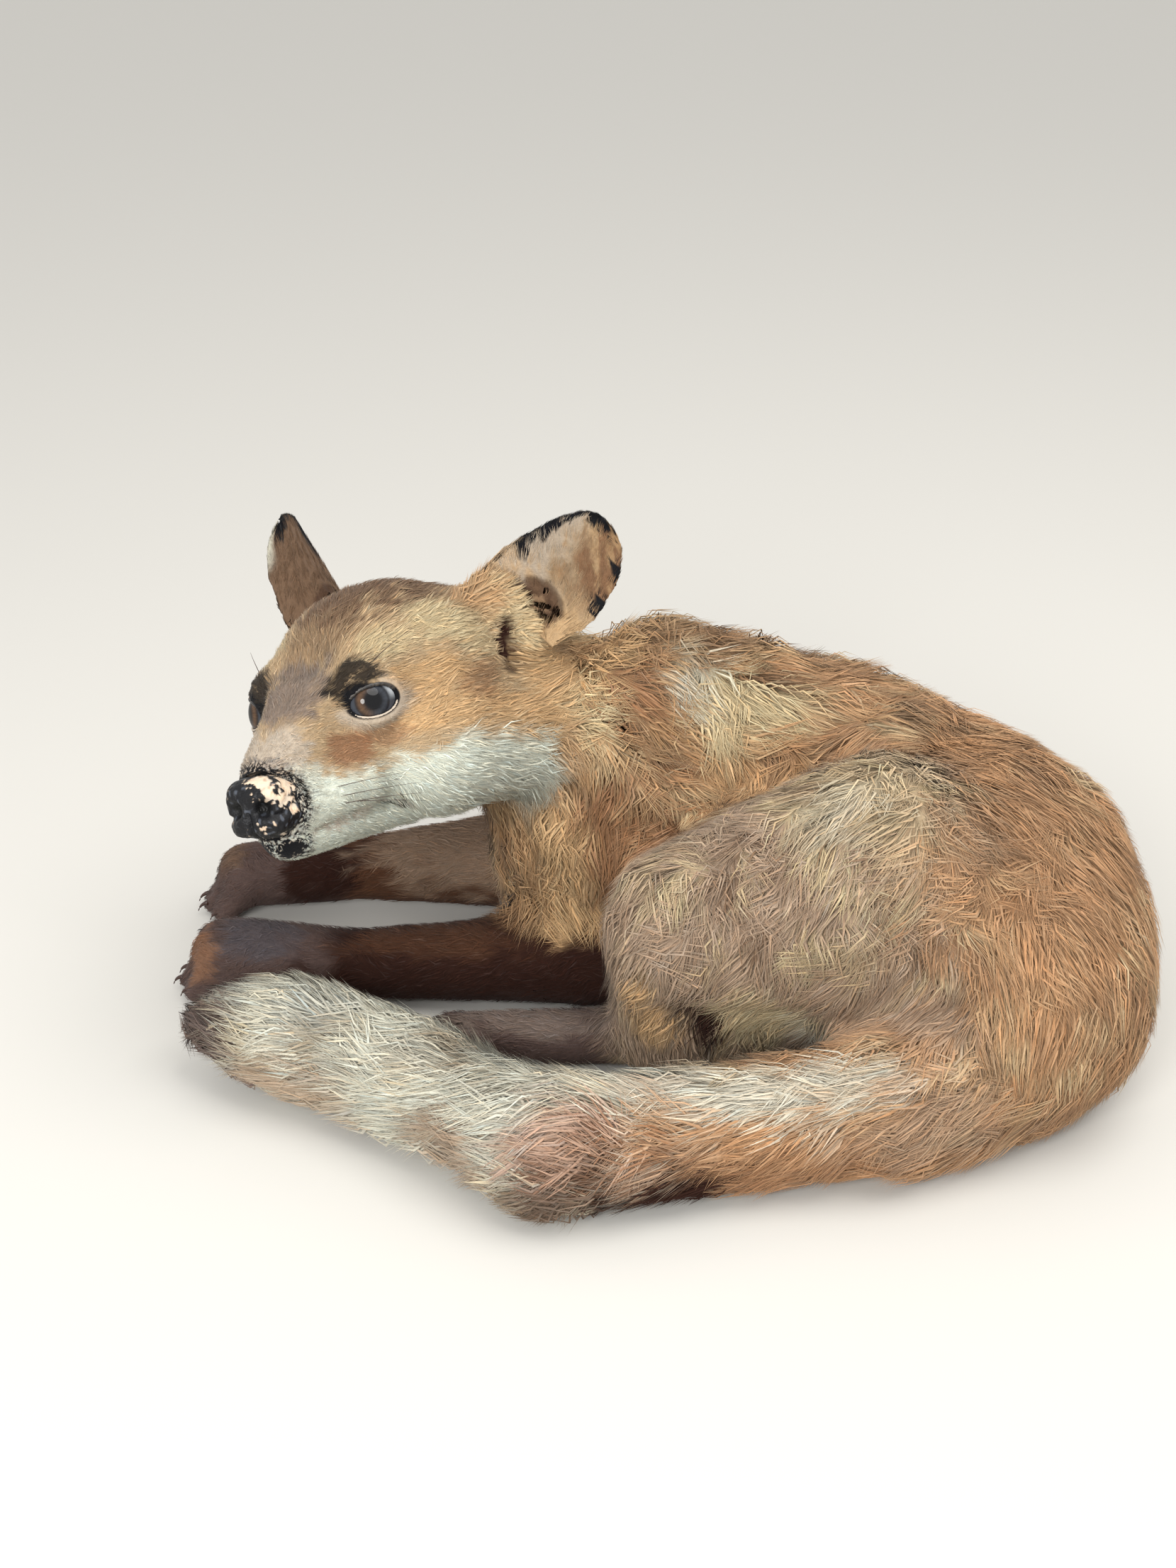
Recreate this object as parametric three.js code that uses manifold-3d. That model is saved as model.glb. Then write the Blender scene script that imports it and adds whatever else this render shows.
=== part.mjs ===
// Taxidermy red fox, lying curled, life size. Millimetres, +Z up, the fox's body runs along X with its
// head at -X, and the viewer's side is -Y. Every form is a smooth blend of round cones and ellipsoids,
// meshed by surface nets; manifold-3d then cuts the body into its named pieces.

import * as THREE from "three";
import { SimplifyModifier } from "three/addons/modifiers/SimplifyModifier.js";
import Module from "manifold-3d";

const wasm = await Module();
wasm.setup();

// ---------------------------------------------------------------- driving dimensions

const GAP = 0.45; // clearance left along a plane cut
const ROOM = 1.2; // clearance left round a piece that its neighbour is cut by
const FLOOR_SINK = 2; // how far round undersides reach below the floor before the flat is cut

// Net cell, and the share of the net's vertices that is kept.
const DETAIL = {
  torso: { cell: 9, keep: 0.15 },
  head: { cell: 4.6, keep: 0.12 },
  jaw: { cell: 4.4, keep: 0.15 },
  limb: { cell: 5, keep: 0.11 },
  paw: { cell: 3.2, keep: 0.14 },
  tail: { cell: 7, keep: 0.13 },
  ball: { cell: 3.4, keep: 0.28 },
};

const EYE_RADIUS = 11;
const EAR = { inner: 26.5, outer: 22.5, below: 0.18, thickness: 3, cup: 11, steps: 7, across: 6 };
const NOSE_RADII = [11, 13, 12];
const TOE = { radius: 7.4, taper: 0.86, length: 14, spread: 9, lead: 4 };

// The head's frame: its origin lies midway between the eyes.
const HEAD_ORIGIN = [-139, 14, 158];
const HEAD_FORWARD = [-0.429, -0.855, 0.291];
const HEAD_LEFT = [0.893, -0.352, 0.28];
const LEAN = { slope: 0.16, from: 8 };

const COLOURS = {
  russet: 0xa9743f,
  brown: 0x7d5a3c,
  cream: 0xcdbfa6,
  dark: 0x4a3527,
  black: 0x15130f,
  glass: 0x2c1a0e,
};

// ---------------------------------------------------------------- frames and small helpers

const vec = (p) => new THREE.Vector3(...p);
const mix = (a, b, t) => a + (b - a) * t;

const headForward = vec(HEAD_FORWARD).normalize();
const headLeft = vec(HEAD_LEFT).addScaledVector(headForward, -vec(HEAD_LEFT).dot(headForward)).normalize();
const headUp = new THREE.Vector3().crossVectors(headForward, headLeft).normalize();

// A place given as forward, left and up of the point between the eyes.
function onHead(forward, left, up) {
  return vec(HEAD_ORIGIN)
    .addScaledVector(headForward, forward)
    .addScaledVector(headLeft, left)
    .addScaledVector(headUp, up)
    .toArray();
}

const headAxes = [headForward, headLeft, headUp];

// How far the middle of the head lies to the left: its back leans that way.
const lean = (forward) => LEAN.slope * Math.max(-forward - LEAN.from, 0);

// Axes of an ellipsoid turned about Z by yaw degrees.
function turned(yaw) {
  const a = THREE.MathUtils.degToRad(yaw);
  return [
    new THREE.Vector3(Math.cos(a), Math.sin(a), 0),
    new THREE.Vector3(-Math.sin(a), Math.cos(a), 0),
    new THREE.Vector3(0, 0, 1),
  ];
}

// ---------------------------------------------------------------- distance fields

// Round cone: a ball of radius ra at a, tapering to a ball of radius rb at b.
function cone(a, ra, b, rb) {
  const axis = vec(b).sub(vec(a));
  const lengthSq = axis.lengthSq();
  return {
    reach: boxAround([a, b], Math.max(ra, rb)),
    at(x, y, z) {
      const dx = x - a[0];
      const dy = y - a[1];
      const dz = z - a[2];
      const t = THREE.MathUtils.clamp((dx * axis.x + dy * axis.y + dz * axis.z) / lengthSq, 0, 1);
      return Math.hypot(dx - axis.x * t, dy - axis.y * t, dz - axis.z * t) - mix(ra, rb, t);
    },
  };
}

function ellipsoid(centre, radii, axes = turned(0)) {
  return {
    reach: boxAround([centre], Math.max(...radii)),
    at(x, y, z) {
      const d = new THREE.Vector3(x - centre[0], y - centre[1], z - centre[2]);
      const q = axes.map((axis, i) => d.dot(axis) / radii[i]);
      const k0 = Math.hypot(...q);
      const k1 = Math.hypot(q[0] / radii[0], q[1] / radii[1], q[2] / radii[2]);
      return k1 > 1e-9 ? (k0 * (k0 - 1)) / k1 : -Math.min(...radii);
    },
  };
}

function boxAround(points, radius) {
  const box = new THREE.Box3().setFromPoints(points.map(vec));
  return box.expandByScalar(radius);
}

// Blend of several forms, rounded where they meet.
function blend(roundness, ...forms) {
  const reach = new THREE.Box3();
  forms.forEach((form) => reach.union(form.reach));
  return {
    reach,
    at(x, y, z) {
      let d = Infinity;
      for (const form of forms) {
        const e = form.at(x, y, z);
        const h = Math.max(roundness - Math.abs(d - e), 0) / roundness;
        d = Math.min(d, e) - (Number.isFinite(d) ? (h * h * roundness) / 4 : 0);
      }
      return d;
    },
  };
}

// A chain of balls [x, y, z, radius], joined by round cones.
function chain(roundness, balls) {
  const cones = balls.slice(1).map((ball, i) => {
    const before = balls[i];
    return cone(before.slice(0, 3), before[3], ball.slice(0, 3), ball[3]);
  });
  return blend(roundness, ...cones);
}

// ---------------------------------------------------------------- meshing

// Surface nets: one vertex in each cell that the surface crosses, one quad for each crossed grid edge.
function netsOf(form, cell) {
  const low = form.reach.min.clone().subScalar(cell * 1.6);
  const size = form.reach.getSize(new THREE.Vector3()).addScalar(cell * 3.2);
  const n = size.toArray().map((s) => Math.ceil(s / cell) + 1);
  const at = (i, j, k) => i + n[0] * (j + n[1] * k);
  const value = new Float64Array(n[0] * n[1] * n[2]);
  for (let k = 0; k < n[2]; k++)
    for (let j = 0; j < n[1]; j++)
      for (let i = 0; i < n[0]; i++)
        value[at(i, j, k)] = form.at(low.x + i * cell, low.y + j * cell, low.z + k * cell);

  const corners = [0, 1, 2, 3, 4, 5, 6, 7].map((c) => [c & 1, (c >> 1) & 1, (c >> 2) & 1]);
  const edges = [];
  for (let a = 0; a < 8; a++) for (const bit of [1, 2, 4]) if (!(a & bit)) edges.push([a, a | bit]);

  const positions = [];
  const vertexOf = new Map();
  for (let k = 0; k < n[2] - 1; k++)
    for (let j = 0; j < n[1] - 1; j++)
      for (let i = 0; i < n[0] - 1; i++) {
        const sum = [0, 0, 0];
        let crossings = 0;
        for (const [a, b] of edges) {
          const [ca, cb] = [corners[a], corners[b]];
          const va = value[at(i + ca[0], j + ca[1], k + ca[2])];
          const vb = value[at(i + cb[0], j + cb[1], k + cb[2])];
          if (va < 0 === vb < 0) continue;
          const t = va / (va - vb);
          for (let axis = 0; axis < 3; axis++) sum[axis] += mix(ca[axis], cb[axis], t);
          crossings++;
        }
        if (!crossings) continue;
        vertexOf.set(at(i, j, k), positions.length / 3);
        positions.push(low.x + (i + sum[0] / crossings) * cell);
        positions.push(low.y + (j + sum[1] / crossings) * cell);
        positions.push(low.z + (k + sum[2] / crossings) * cell);
      }

  const index = [];
  const step = [at(1, 0, 0), at(0, 1, 0), at(0, 0, 1)];
  for (let k = 1; k < n[2] - 1; k++)
    for (let j = 1; j < n[1] - 1; j++)
      for (let i = 1; i < n[0] - 1; i++)
        for (let axis = 0; axis < 3; axis++) {
          const here = at(i, j, k);
          const inside = value[here] < 0;
          if (inside === value[here + step[axis]] < 0) continue;
          const [u, v] = [step[(axis + 1) % 3], step[(axis + 2) % 3]];
          const quad = [here - u - v, here - v, here, here - u].map((c) => vertexOf.get(c));
          if (!inside) quad.reverse();
          index.push(quad[0], quad[1], quad[2], quad[0], quad[2], quad[3]);
        }
  return { positions, index };
}

function solidOf({ positions, index }) {
  const vertProperties = new Float32Array(positions);
  const triVerts = new Uint32Array(index);
  return new wasm.Manifold(new wasm.Mesh({ numProp: 3, vertProperties, triVerts }));
}

function geometryOf({ positions, index }) {
  const geometry = new THREE.BufferGeometry();
  geometry.setAttribute("position", new THREE.Float32BufferAttribute(positions, 3));
  geometry.setIndex([...index]);
  return geometry;
}

// The same net pushed out by the clearance, to cut its neighbours with.
function grown(net, by = ROOM) {
  const geometry = geometryOf(net);
  geometry.computeVertexNormals();
  const normals = geometry.getAttribute("normal").array;
  return { positions: net.positions.map((p, i) => p + normals[i] * by), index: net.index };
}

// Drops the vertices that add least to a net's shape.
async function lighter(net, keep) {
  const vertices = net.positions.length / 3;
  const geometry = await new SimplifyModifier().modify(geometryOf(net), vertices * (1 - keep));
  return { positions: [...geometry.getAttribute("position").array], index: [...geometry.index.array] };
}

// A form ready to be cut: its solid, and the slightly larger solid that makes room for it. Both end at
// the plane { at, along }, where one is given.
async function body(form, { cell, keep }, plane) {
  const net = await lighter(netsOf(form, cell), keep);
  const solid = solidOf(net);
  const room = solidOf(grown(net));
  if (!plane) return { solid, room };
  const beyond = (side) => ahead(plane.at, plane.along, side * (GAP / 2));
  return { solid: solid.intersect(beyond(1)), room: room.intersect(beyond(-1)) };
}

// ---------------------------------------------------------------- cutters

const FAR = 900;

function boxSolid(matrix) {
  const box = new THREE.BoxGeometry(FAR, FAR, FAR).applyMatrix4(matrix);
  const position = box.getAttribute("position");
  const seen = new Map();
  const positions = [];
  const index = Array.from(box.index.array, (i) => {
    const p = [position.getX(i), position.getY(i), position.getZ(i)];
    const key = p.map((c) => c.toFixed(2)).join();
    if (!seen.has(key)) {
      seen.set(key, positions.length / 3);
      positions.push(...p);
    }
    return seen.get(key);
  });
  return solidOf({ positions, index });
}

// All that lies ahead of a plane through a point, along a direction.
function ahead(point, direction, clearance = GAP / 2) {
  const normal = vec(direction).normalize();
  const turn = new THREE.Quaternion().setFromUnitVectors(new THREE.Vector3(1, 0, 0), normal);
  const middle = vec(point).addScaledVector(normal, FAR / 2 + clearance);
  return boxSolid(new THREE.Matrix4().compose(middle, turn, new THREE.Vector3(1, 1, 1)));
}

const flip = (direction) => direction.map((c) => -c);
const aboveFloor = ahead([0, 0, 0], [0, 0, 1], 0);

// Cuts one solid in lengths at planes { at, along }, first piece before the first plane.
function lengths(solid, planes) {
  let rest = solid;
  const pieces = planes.map(({ at, along }) => {
    const piece = rest.intersect(ahead(at, flip(along)));
    rest = rest.intersect(ahead(at, along));
    return piece;
  });
  return [...pieces, rest];
}

// ---------------------------------------------------------------- torso: neck, trunk, shoulders, thighs

const SHOULDER = { left: [-8, 55, 96], right: [-8, 100, 96] };
const ELBOW = { left: [16, 39, 27], right: [16, 119, 30] };
const HIP = { left: [88, -10, 92], right: [110, 92, 64] };
const KNEE = { left: [10, -14, 70], right: [28, 120, 42] };

const SHIN = { left: [8, -14, 26], right: [50, 134, 18] };
const HOCK = { left: [48, -4, 14], right: [92, 137, 14] };

// Radii of the legs' upper parts. The left thigh lies on top and swells most.
const ARM_RADII = { shoulder: 31, elbow: 24 };
const THIGH_RADII = { left: { hip: 57, knee: 39 }, right: { hip: 50, knee: 33 } };
const SHANK_RADII = { left: { knee: 31, shin: 27, hock: 15 }, right: { knee: 31, shin: 21, hock: 15 } };

const upperArm = (side) => cone(SHOULDER[side], ARM_RADII.shoulder, ELBOW[side], ARM_RADII.elbow);
const thigh = (side) => cone(HIP[side], THIGH_RADII[side].hip, KNEE[side], THIGH_RADII[side].knee);
const shank = (side) => {
  const { knee, shin, hock } = SHANK_RADII[side];
  return chain(10, [
    [...KNEE[side], knee],
    [...SHIN[side], shin],
    [...HOCK[side], hock],
  ]);
};

const trunkForm = blend(
  26,
  ellipsoid([-34, 77, 64], [42, 43, 66]),
  ellipsoid([8, 76, 83], [62, 48, 90]),
  ellipsoid([62, 77, 74], [66, 50, 81]),
  ellipsoid([114, 60, 67], [62, 52, 73], turned(-25)),
  ellipsoid([152, 14, 65], [58, 52, 71], turned(-65)),
  ellipsoid([148, -36, 54], [50, 54, 55], turned(-75)),
  ellipsoid([76, 4, 40], [66, 46, 42]),
);
const neckForm = chain(20, [
  [-16, 82, 104, 46],
  [-56, 96, 114, 36],
  [-82, 102, 124, 35],
]);
const SIDES = ["left", "right"];
const torsoForm = blend(
  9,
  blend(20, trunkForm, neckForm),
  ...SIDES.map(upperArm),
  ...SIDES.map(thigh),
  ...SIDES.map(shank),
);

// ---------------------------------------------------------------- tail

const TAIL = [
  [137, -52, 33, 35],
  [92, -74, 30, 30],
  [27, -83, 27, 26.5],
  [-43, -98, 28, 28],
  [-97, -55, 27, 26],
  [-150, -25, 28, 27],
  [-186, -18, 27, 19],
];
const TAIL_CUTS = [
  { at: [27, -83, 27], along: [-1, -0.1, 0] },
  { at: [-95, -66, 28], along: [-1, 0.6, 0] },
];

// ---------------------------------------------------------------- legs

// Four toes across the front of a paw, pointing along its direction.
function toes(front, direction) {
  const heading = vec([direction[0], direction[1], 0]).normalize();
  const across = new THREE.Vector3(-heading.y, heading.x, 0);
  return [-1.5, -0.5, 0.5, 1.5].map((k) => {
    const lead = Math.abs(k) < 1 ? TOE.lead : -TOE.lead / 2;
    const root = vec(front).addScaledVector(across, k * TOE.spread * 0.8);
    const tip = vec(front).addScaledVector(across, k * TOE.spread);
    tip.addScaledVector(heading, TOE.length + lead);
    tip.z = TOE.radius * TOE.taper - FLOOR_SINK;
    return cone(root.toArray(), TOE.radius, tip.toArray(), TOE.radius * TOE.taper);
  });
}

// Each forearm's radii, and how far along it the middle one lies. The coat of the right one is the fuller.
const FORELEG = {
  left: { elbow: 27, middle: 22, wrist: 18, halfway: 0.3 },
  right: { elbow: 30, middle: 25.5, wrist: 17, halfway: 0.45 },
};
const HIND_FOOT_RADII = { hock: 13.5, front: 13 };

function foreleg(side, pawFront) {
  const [from, to] = [ELBOW[side], WRIST[side]];
  const { elbow, middle, wrist, halfway } = FORELEG[side];
  const direction = vec(pawFront).sub(vec(to)).toArray();
  const arm = chain(8, [
    [...from, elbow],
    [mix(from[0], to[0], halfway), mix(from[1], to[1], halfway), middle, middle],
    [...to, wrist],
  ]);
  const palm = cone(to, wrist, pawFront, wrist);
  const paw = blend(4, palm, ...toes(pawFront, direction));
  return { arm, paw };
}

function hindFoot(hock, pawFront) {
  const direction = vec(pawFront).sub(vec(hock)).toArray();
  const sole = cone(hock, HIND_FOOT_RADII.hock, pawFront, HIND_FOOT_RADII.front);
  return blend(4, sole, ...toes(pawFront, direction));
}

const WRIST = { left: [-140, 44, 16], right: [-146, 123, 18] };
const ARM_FRONT = { left: [-4, 40, 20], right: [-20, 120, 20] };
const FOREPAW = { left: [-190, 50, 18], right: [-190, 118, 19] };
const HINDPAW = { left: [-88, -7, 12], right: [-4, 156, 12] };

// ---------------------------------------------------------------- head

const bothSides = (make) => [1, -1].map(make);

const headForm = blend(
  12,
  ellipsoid(onHead(-50, lean(-50), 7), [50, 43, 41], headAxes),
  ellipsoid(onHead(-86, lean(-86), -2), [36, 48, 42], headAxes),
  ...bothSides((s) => ellipsoid(onHead(-42, lean(-42) + s * 28, -26), [38, 26, 29], headAxes)),
  ...bothSides((s) => ellipsoid(onHead(-74, lean(-74) + s * 36, -29), [30, 21, 24], headAxes)),
  ...bothSides((s) => {
    const top = onHead(-77, lean(-77) + s * 33, 34);
    return cone(top, 15, onHead(-82, lean(-82) + s * 44, 14), 13);
  }),
  ...bothSides((s) => ellipsoid(onHead(-8, s * 17, 10), [14, 13, 9], headAxes)),
  cone(onHead(-6, 0, -14), 25, onHead(37, 1, -31), 14.5),
  ...bothSides((s) => cone(onHead(2, s * 12, -30), 15, onHead(32, s * 6, -37), 9.5)),
);

const jawForm = blend(
  8,
  cone(onHead(-34, lean(-34), -44), 13, onHead(35, 1, -47), 9),
  ...bothSides((s) => cone(onHead(-34, lean(-34) + s * 14, -44), 11, onHead(28, s * 3, -46), 8)),
);

const noseForm = ellipsoid(onHead(46, 2, -33), NOSE_RADII, headAxes);

const eyeForm = (s) => ellipsoid(onHead(-5.5, s * 22, -1), [EYE_RADIUS, EYE_RADIUS, EYE_RADIUS]);

// An ear: a thin cupped leaf from base to tip, its hollow facing along "open", all given in the head's frame.
// It goes on a little below its base, down into the head.
function earNet(s, { base, tip, open }) {
  const foot = vec(onHead(...base));
  const rise = vec(onHead(...tip)).sub(foot);
  const facing = vec(onHead(...open)).sub(vec(HEAD_ORIGIN));
  facing.addScaledVector(rise, -facing.dot(rise) / rise.lengthSq()).normalize();
  const across = new THREE.Vector3().crossVectors(rise, facing).normalize();
  const leaf = (u, v, depth) => {
    const outer = u * s < 0;
    const taper = outer ? 1 - 0.25 * THREE.MathUtils.smoothstep(v, 0, 0.8) : 1;
    const half = (outer ? EAR.outer : EAR.inner) * Math.sqrt(Math.max(1 - Math.max(v, 0) ** 3.4, 0.02));
    const cup = EAR.cup * (1 - u * u) * mix(1, 0.2, THREE.MathUtils.smoothstep(v, -0.2, 1));
    return foot
      .clone()
      .addScaledVector(rise, v)
      .addScaledVector(across, half * taper * u)
      .addScaledVector(facing, depth - cup);
  };
  const positions = [];
  const columns = EAR.across + 1;
  for (const depth of [EAR.thickness / 2, -EAR.thickness / 2])
    for (let row = 0; row <= EAR.steps; row++)
      for (let column = 0; column < columns; column++) {
        const along = mix(-EAR.below, 1, row / EAR.steps);
        positions.push(...leaf((2 * column) / EAR.across - 1, along, depth).toArray());
      }

  const index = [];
  const layer = columns * (EAR.steps + 1);
  const at = (row, column, back) => row * columns + column + (back ? layer : 0);
  const quad = (a, b, c, d) => index.push(a, b, c, a, c, d);
  for (let row = 0; row < EAR.steps; row++) {
    for (let column = 0; column < EAR.across; column++) {
      quad(at(row, column), at(row, column + 1), at(row + 1, column + 1), at(row + 1, column));
      quad(at(row + 1, column, 1), at(row + 1, column + 1, 1), at(row, column + 1, 1), at(row, column, 1));
    }
    quad(at(row, 0, 1), at(row, 0), at(row + 1, 0), at(row + 1, 0, 1));
    quad(at(row, EAR.across), at(row, EAR.across, 1), at(row + 1, EAR.across, 1), at(row + 1, EAR.across));
  }
  for (let column = 0; column < EAR.across; column++) {
    quad(at(0, column, 1), at(0, column + 1, 1), at(0, column + 1), at(0, column));
    const top = EAR.steps;
    quad(at(top, column), at(top, column + 1), at(top, column + 1, 1), at(top, column, 1));
  }
  return { positions, index };
}

const EAR_PLACES = {
  left: { base: [-78, 62, 30], tip: [-95, 93, 59], open: [0.91, 0.32, 0.17] },
  right: { base: [-62, -34, 37], tip: [-75, -54, 78], open: [0.78, -0.55, 0.17] },
};

// ---------------------------------------------------------------- assembly

const fox = new THREE.Group();
fox.name = "fox";

const finish = {
  fur: (colour) => ({ color: colour, roughness: 0.95, metalness: 0 }),
  paint: { color: COLOURS.black, roughness: 0.6, metalness: 0 },
  glass: { color: COLOURS.glass, roughness: 0.08, metalness: 0 },
};

// The largest connected shell of a solid: what a cut leaves behind as crumbs is dropped.
function largestShell(solid) {
  const { vertProperties, triVerts, numProp } = solid.getMesh();
  const count = vertProperties.length / numProp;
  const root = Array.from({ length: count }, (_, i) => i);
  const find = (i) => {
    while (root[i] !== i) i = root[i] = root[root[i]];
    return i;
  };
  for (let t = 0; t < triVerts.length; t += 3) {
    root[find(triVerts[t])] = find(triVerts[t + 1]);
    root[find(triVerts[t + 1])] = find(triVerts[t + 2]);
  }
  const sizes = new Map();
  for (const i of triVerts) sizes.set(find(i), (sizes.get(find(i)) ?? 0) + 1);
  const [largest] = [...sizes].reduce((best, entry) => (entry[1] > best[1] ? entry : best));
  const newIndex = new Map();
  const positions = [];
  const index = [];
  for (const i of triVerts) {
    if (find(i) !== largest) continue;
    if (!newIndex.has(i)) {
      newIndex.set(i, positions.length / 3);
      positions.push(...vertProperties.subarray(i * numProp, i * numProp + 3));
    }
    index.push(newIndex.get(i));
  }
  return { positions, index };
}

function piece(name, solid, look) {
  const geometry = geometryOf(largestShell(solid));
  geometry.computeBoundingBox();
  const centre = geometry.boundingBox.getCenter(new THREE.Vector3());
  geometry.translate(-centre.x, -centre.y, -centre.z);
  geometry.computeVertexNormals();
  const made = new THREE.Mesh(geometry, new THREE.MeshStandardMaterial(look));
  made.name = name;
  made.position.copy(centre);
  fox.add(made);
}

const cutBy = (solid, ...rooms) => rooms.reduce((left, room) => left.subtract(room), solid);

const floored = (solid) => solid.intersect(aboveFloor);

// Head, with the eyes, nose and jaw let into it.
const nose = await body(noseForm, DETAIL.ball);
const jaw = await body(jawForm, DETAIL.jaw);
const NAPE = { at: onHead(-100, 0, -10), along: HEAD_FORWARD };
const head = await body(headForm, DETAIL.head, NAPE);
const eyes = await Promise.all(bothSides((s) => body(eyeForm(s), DETAIL.ball)));
const headCut = cutBy(head.solid, nose.room, jaw.room, eyes[0].room, eyes[1].room);
piece("head", headCut, finish.fur(COLOURS.russet));
piece("lower_jaw", cutBy(jaw.solid, nose.room), finish.fur(COLOURS.cream));
piece("nose_pad", nose.solid, finish.paint);
piece("eye_left", eyes[0].solid, finish.glass);
piece("eye_right", eyes[1].solid, finish.glass);

// Tail in three lengths.
const tail = await body(chain(12, TAIL), DETAIL.tail);
const TAIL_NAMES = ["tail_base", "tail_middle", "tail_tip"];
lengths(floored(tail.solid), TAIL_CUTS).forEach((solid, i) => {
  piece(TAIL_NAMES[i], solid, finish.fur(i ? COLOURS.cream : COLOURS.russet));
});

// Lower legs, out of the torso's front and knees. Each one's room is kept, to be cut out of the torso.
const rooms = [tail.room, head.room];
for (const side of SIDES) {
  const { arm, paw } = foreleg(side, FOREPAW[side]);
  const along = vec(WRIST[side]).sub(vec(ELBOW[side])).toArray();
  const forearm = await body(arm, DETAIL.limb, { at: ARM_FRONT[side], along });
  const forepaw = await body(paw, DETAIL.paw, { at: WRIST[side], along });
  const beforeWrist = ahead(WRIST[side], flip(along));
  piece(`forearm_${side}`, floored(forearm.solid.intersect(beforeWrist)), finish.fur(COLOURS.dark));
  piece(`forepaw_${side}`, floored(forepaw.solid), finish.fur(COLOURS.dark));

  const beforeShin = { at: SHIN[side], along: [-1, 0, 0] };
  const foot = await body(hindFoot(HOCK[side], HINDPAW[side]), DETAIL.paw, beforeShin);
  piece(`hind_foot_${side}`, floored(cutBy(foot.solid, tail.room)), finish.fur(COLOURS.dark));
  rooms.push(forearm.room, foot.room);
}

// The torso takes what room is left, and is parted by plane cuts.
const torso = await body(torsoForm, DETAIL.torso);
for (const [side, place] of Object.entries(EAR_PLACES)) {
  const ear = solidOf(earNet(side === "left" ? 1 : -1, place));
  piece(`ear_${side}`, cutBy(ear, head.room, torso.room), finish.fur(COLOURS.brown));
}
let torsoLeft = floored(cutBy(torso.solid, ...rooms));

// Takes a corner off the torso: all that lies ahead of every one of the planes { at, along }.
function takeCorner(planes) {
  const corner = (clearance) =>
    planes
      .map(({ at, along }) => ahead(at, along, clearance))
      .reduce((left, next) => left.intersect(next));
  const taken = torsoLeft.intersect(corner(GAP / 2));
  torsoLeft = torsoLeft.subtract(corner(-GAP / 2));
  return taken;
}

const CORNERS = {
  neck: [{ at: [-48, 84, 118], along: [-0.82, 0, 0.57] }],
  shank_left: [
    { at: [45, 0, 0], along: [-1, 0, 0] },
    { at: [0, 0, 46], along: [0, 0, -1] },
    { at: [0, 22, 0], along: [0, -1, 0] },
  ],
  shank_right: [
    { at: [100, 0, 0], along: [-1, 0, 0] },
    { at: [-10, 0, 0], along: [1, 0, 0] },
    { at: [0, 0, 28], along: [0, 0, -1] },
    { at: [0, 116, 0], along: [0, 1, 0] },
  ],
  thigh_left: [
    { at: [118, 0, 0], along: [-1, 0, 0] },
    { at: [0, 19, 0], along: [0, -1, 0] },
  ],
  thigh_right: [
    { at: [150, 0, 0], along: [-1, 0, 0] },
    { at: [30, 0, 0], along: [1, 0, 0] },
    { at: [0, 112, 0], along: [0, 1, 0] },
  ],
  upper_arm_left: [
    { at: [0, 44, 0], along: [0, -1, 0] },
    { at: [60, 0, 0], along: [-1, 0, 0] },
    { at: [0, 0, 130], along: [0, 0, -1] },
  ],
  upper_arm_right: [
    { at: [0, 110, 0], along: [0, 1, 0] },
    { at: [30, 0, 0], along: [-1, 0, 0] },
    { at: [0, 0, 130], along: [0, 0, -1] },
  ],
};
for (const [name, planes] of Object.entries(CORNERS)) {
  piece(name, takeCorner(planes), finish.fur(COLOURS.russet));
}

const TRUNK_CUTS = [
  { at: [44, 77, 80], along: [1, 0, 0] },
  { at: [112, 60, 80], along: [0.75, -0.66, 0] },
];
const TRUNK_NAMES = ["chest", "mid_back", "rump"];
lengths(torsoLeft, TRUNK_CUTS).forEach((solid, i) => {
  piece(TRUNK_NAMES[i], solid, finish.fur(COLOURS.russet));
});

// The origin lies on the floor, under the middle of the overall box.
const bounds = new THREE.Box3().setFromObject(fox);
const middle = bounds.getCenter(new THREE.Vector3());
fox.position.set(-middle.x, -middle.y, -bounds.min.z);

export default fox;
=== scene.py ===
"""Looks of a mounted red fox that lies curled on the floor, built round its fixed frame.

One skin is drawn over the flesh nodes and then sunk by the depth of the coat. The coat is thin solid tufts
that overlap, rooted on the skin and combed along the body. Eyes, lids, nose, claws and whiskers are pieces
of their own. Numbers are in metres, or in millimetres where a name or a comment says so.
"""

import math
from collections import namedtuple

import bmesh
import bpy
import numpy as np
from bpy.props import FloatProperty, FloatVectorProperty, IntProperty, PointerProperty
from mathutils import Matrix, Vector
from mathutils.bvhtree import BVHTree
from mathutils.kdtree import KDTree


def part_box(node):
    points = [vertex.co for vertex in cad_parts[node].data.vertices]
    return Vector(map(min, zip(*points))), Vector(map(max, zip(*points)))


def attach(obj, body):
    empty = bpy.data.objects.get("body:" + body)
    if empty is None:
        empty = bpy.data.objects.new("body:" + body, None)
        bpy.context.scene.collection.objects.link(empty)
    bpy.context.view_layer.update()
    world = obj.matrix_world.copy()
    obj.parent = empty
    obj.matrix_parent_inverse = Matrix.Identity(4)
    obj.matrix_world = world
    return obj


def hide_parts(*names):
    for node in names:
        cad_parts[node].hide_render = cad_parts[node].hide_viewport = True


bl_info = {
    "name": "Mounted red fox",
    "version": (1, 0),
    "blender": (4, 5, 0),
    "location": "View3D > Sidebar > Fox",
    "description": "Skin, coat, eyes, nose and claws of a mounted red fox lying curled",
    "category": "Object",
}

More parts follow.
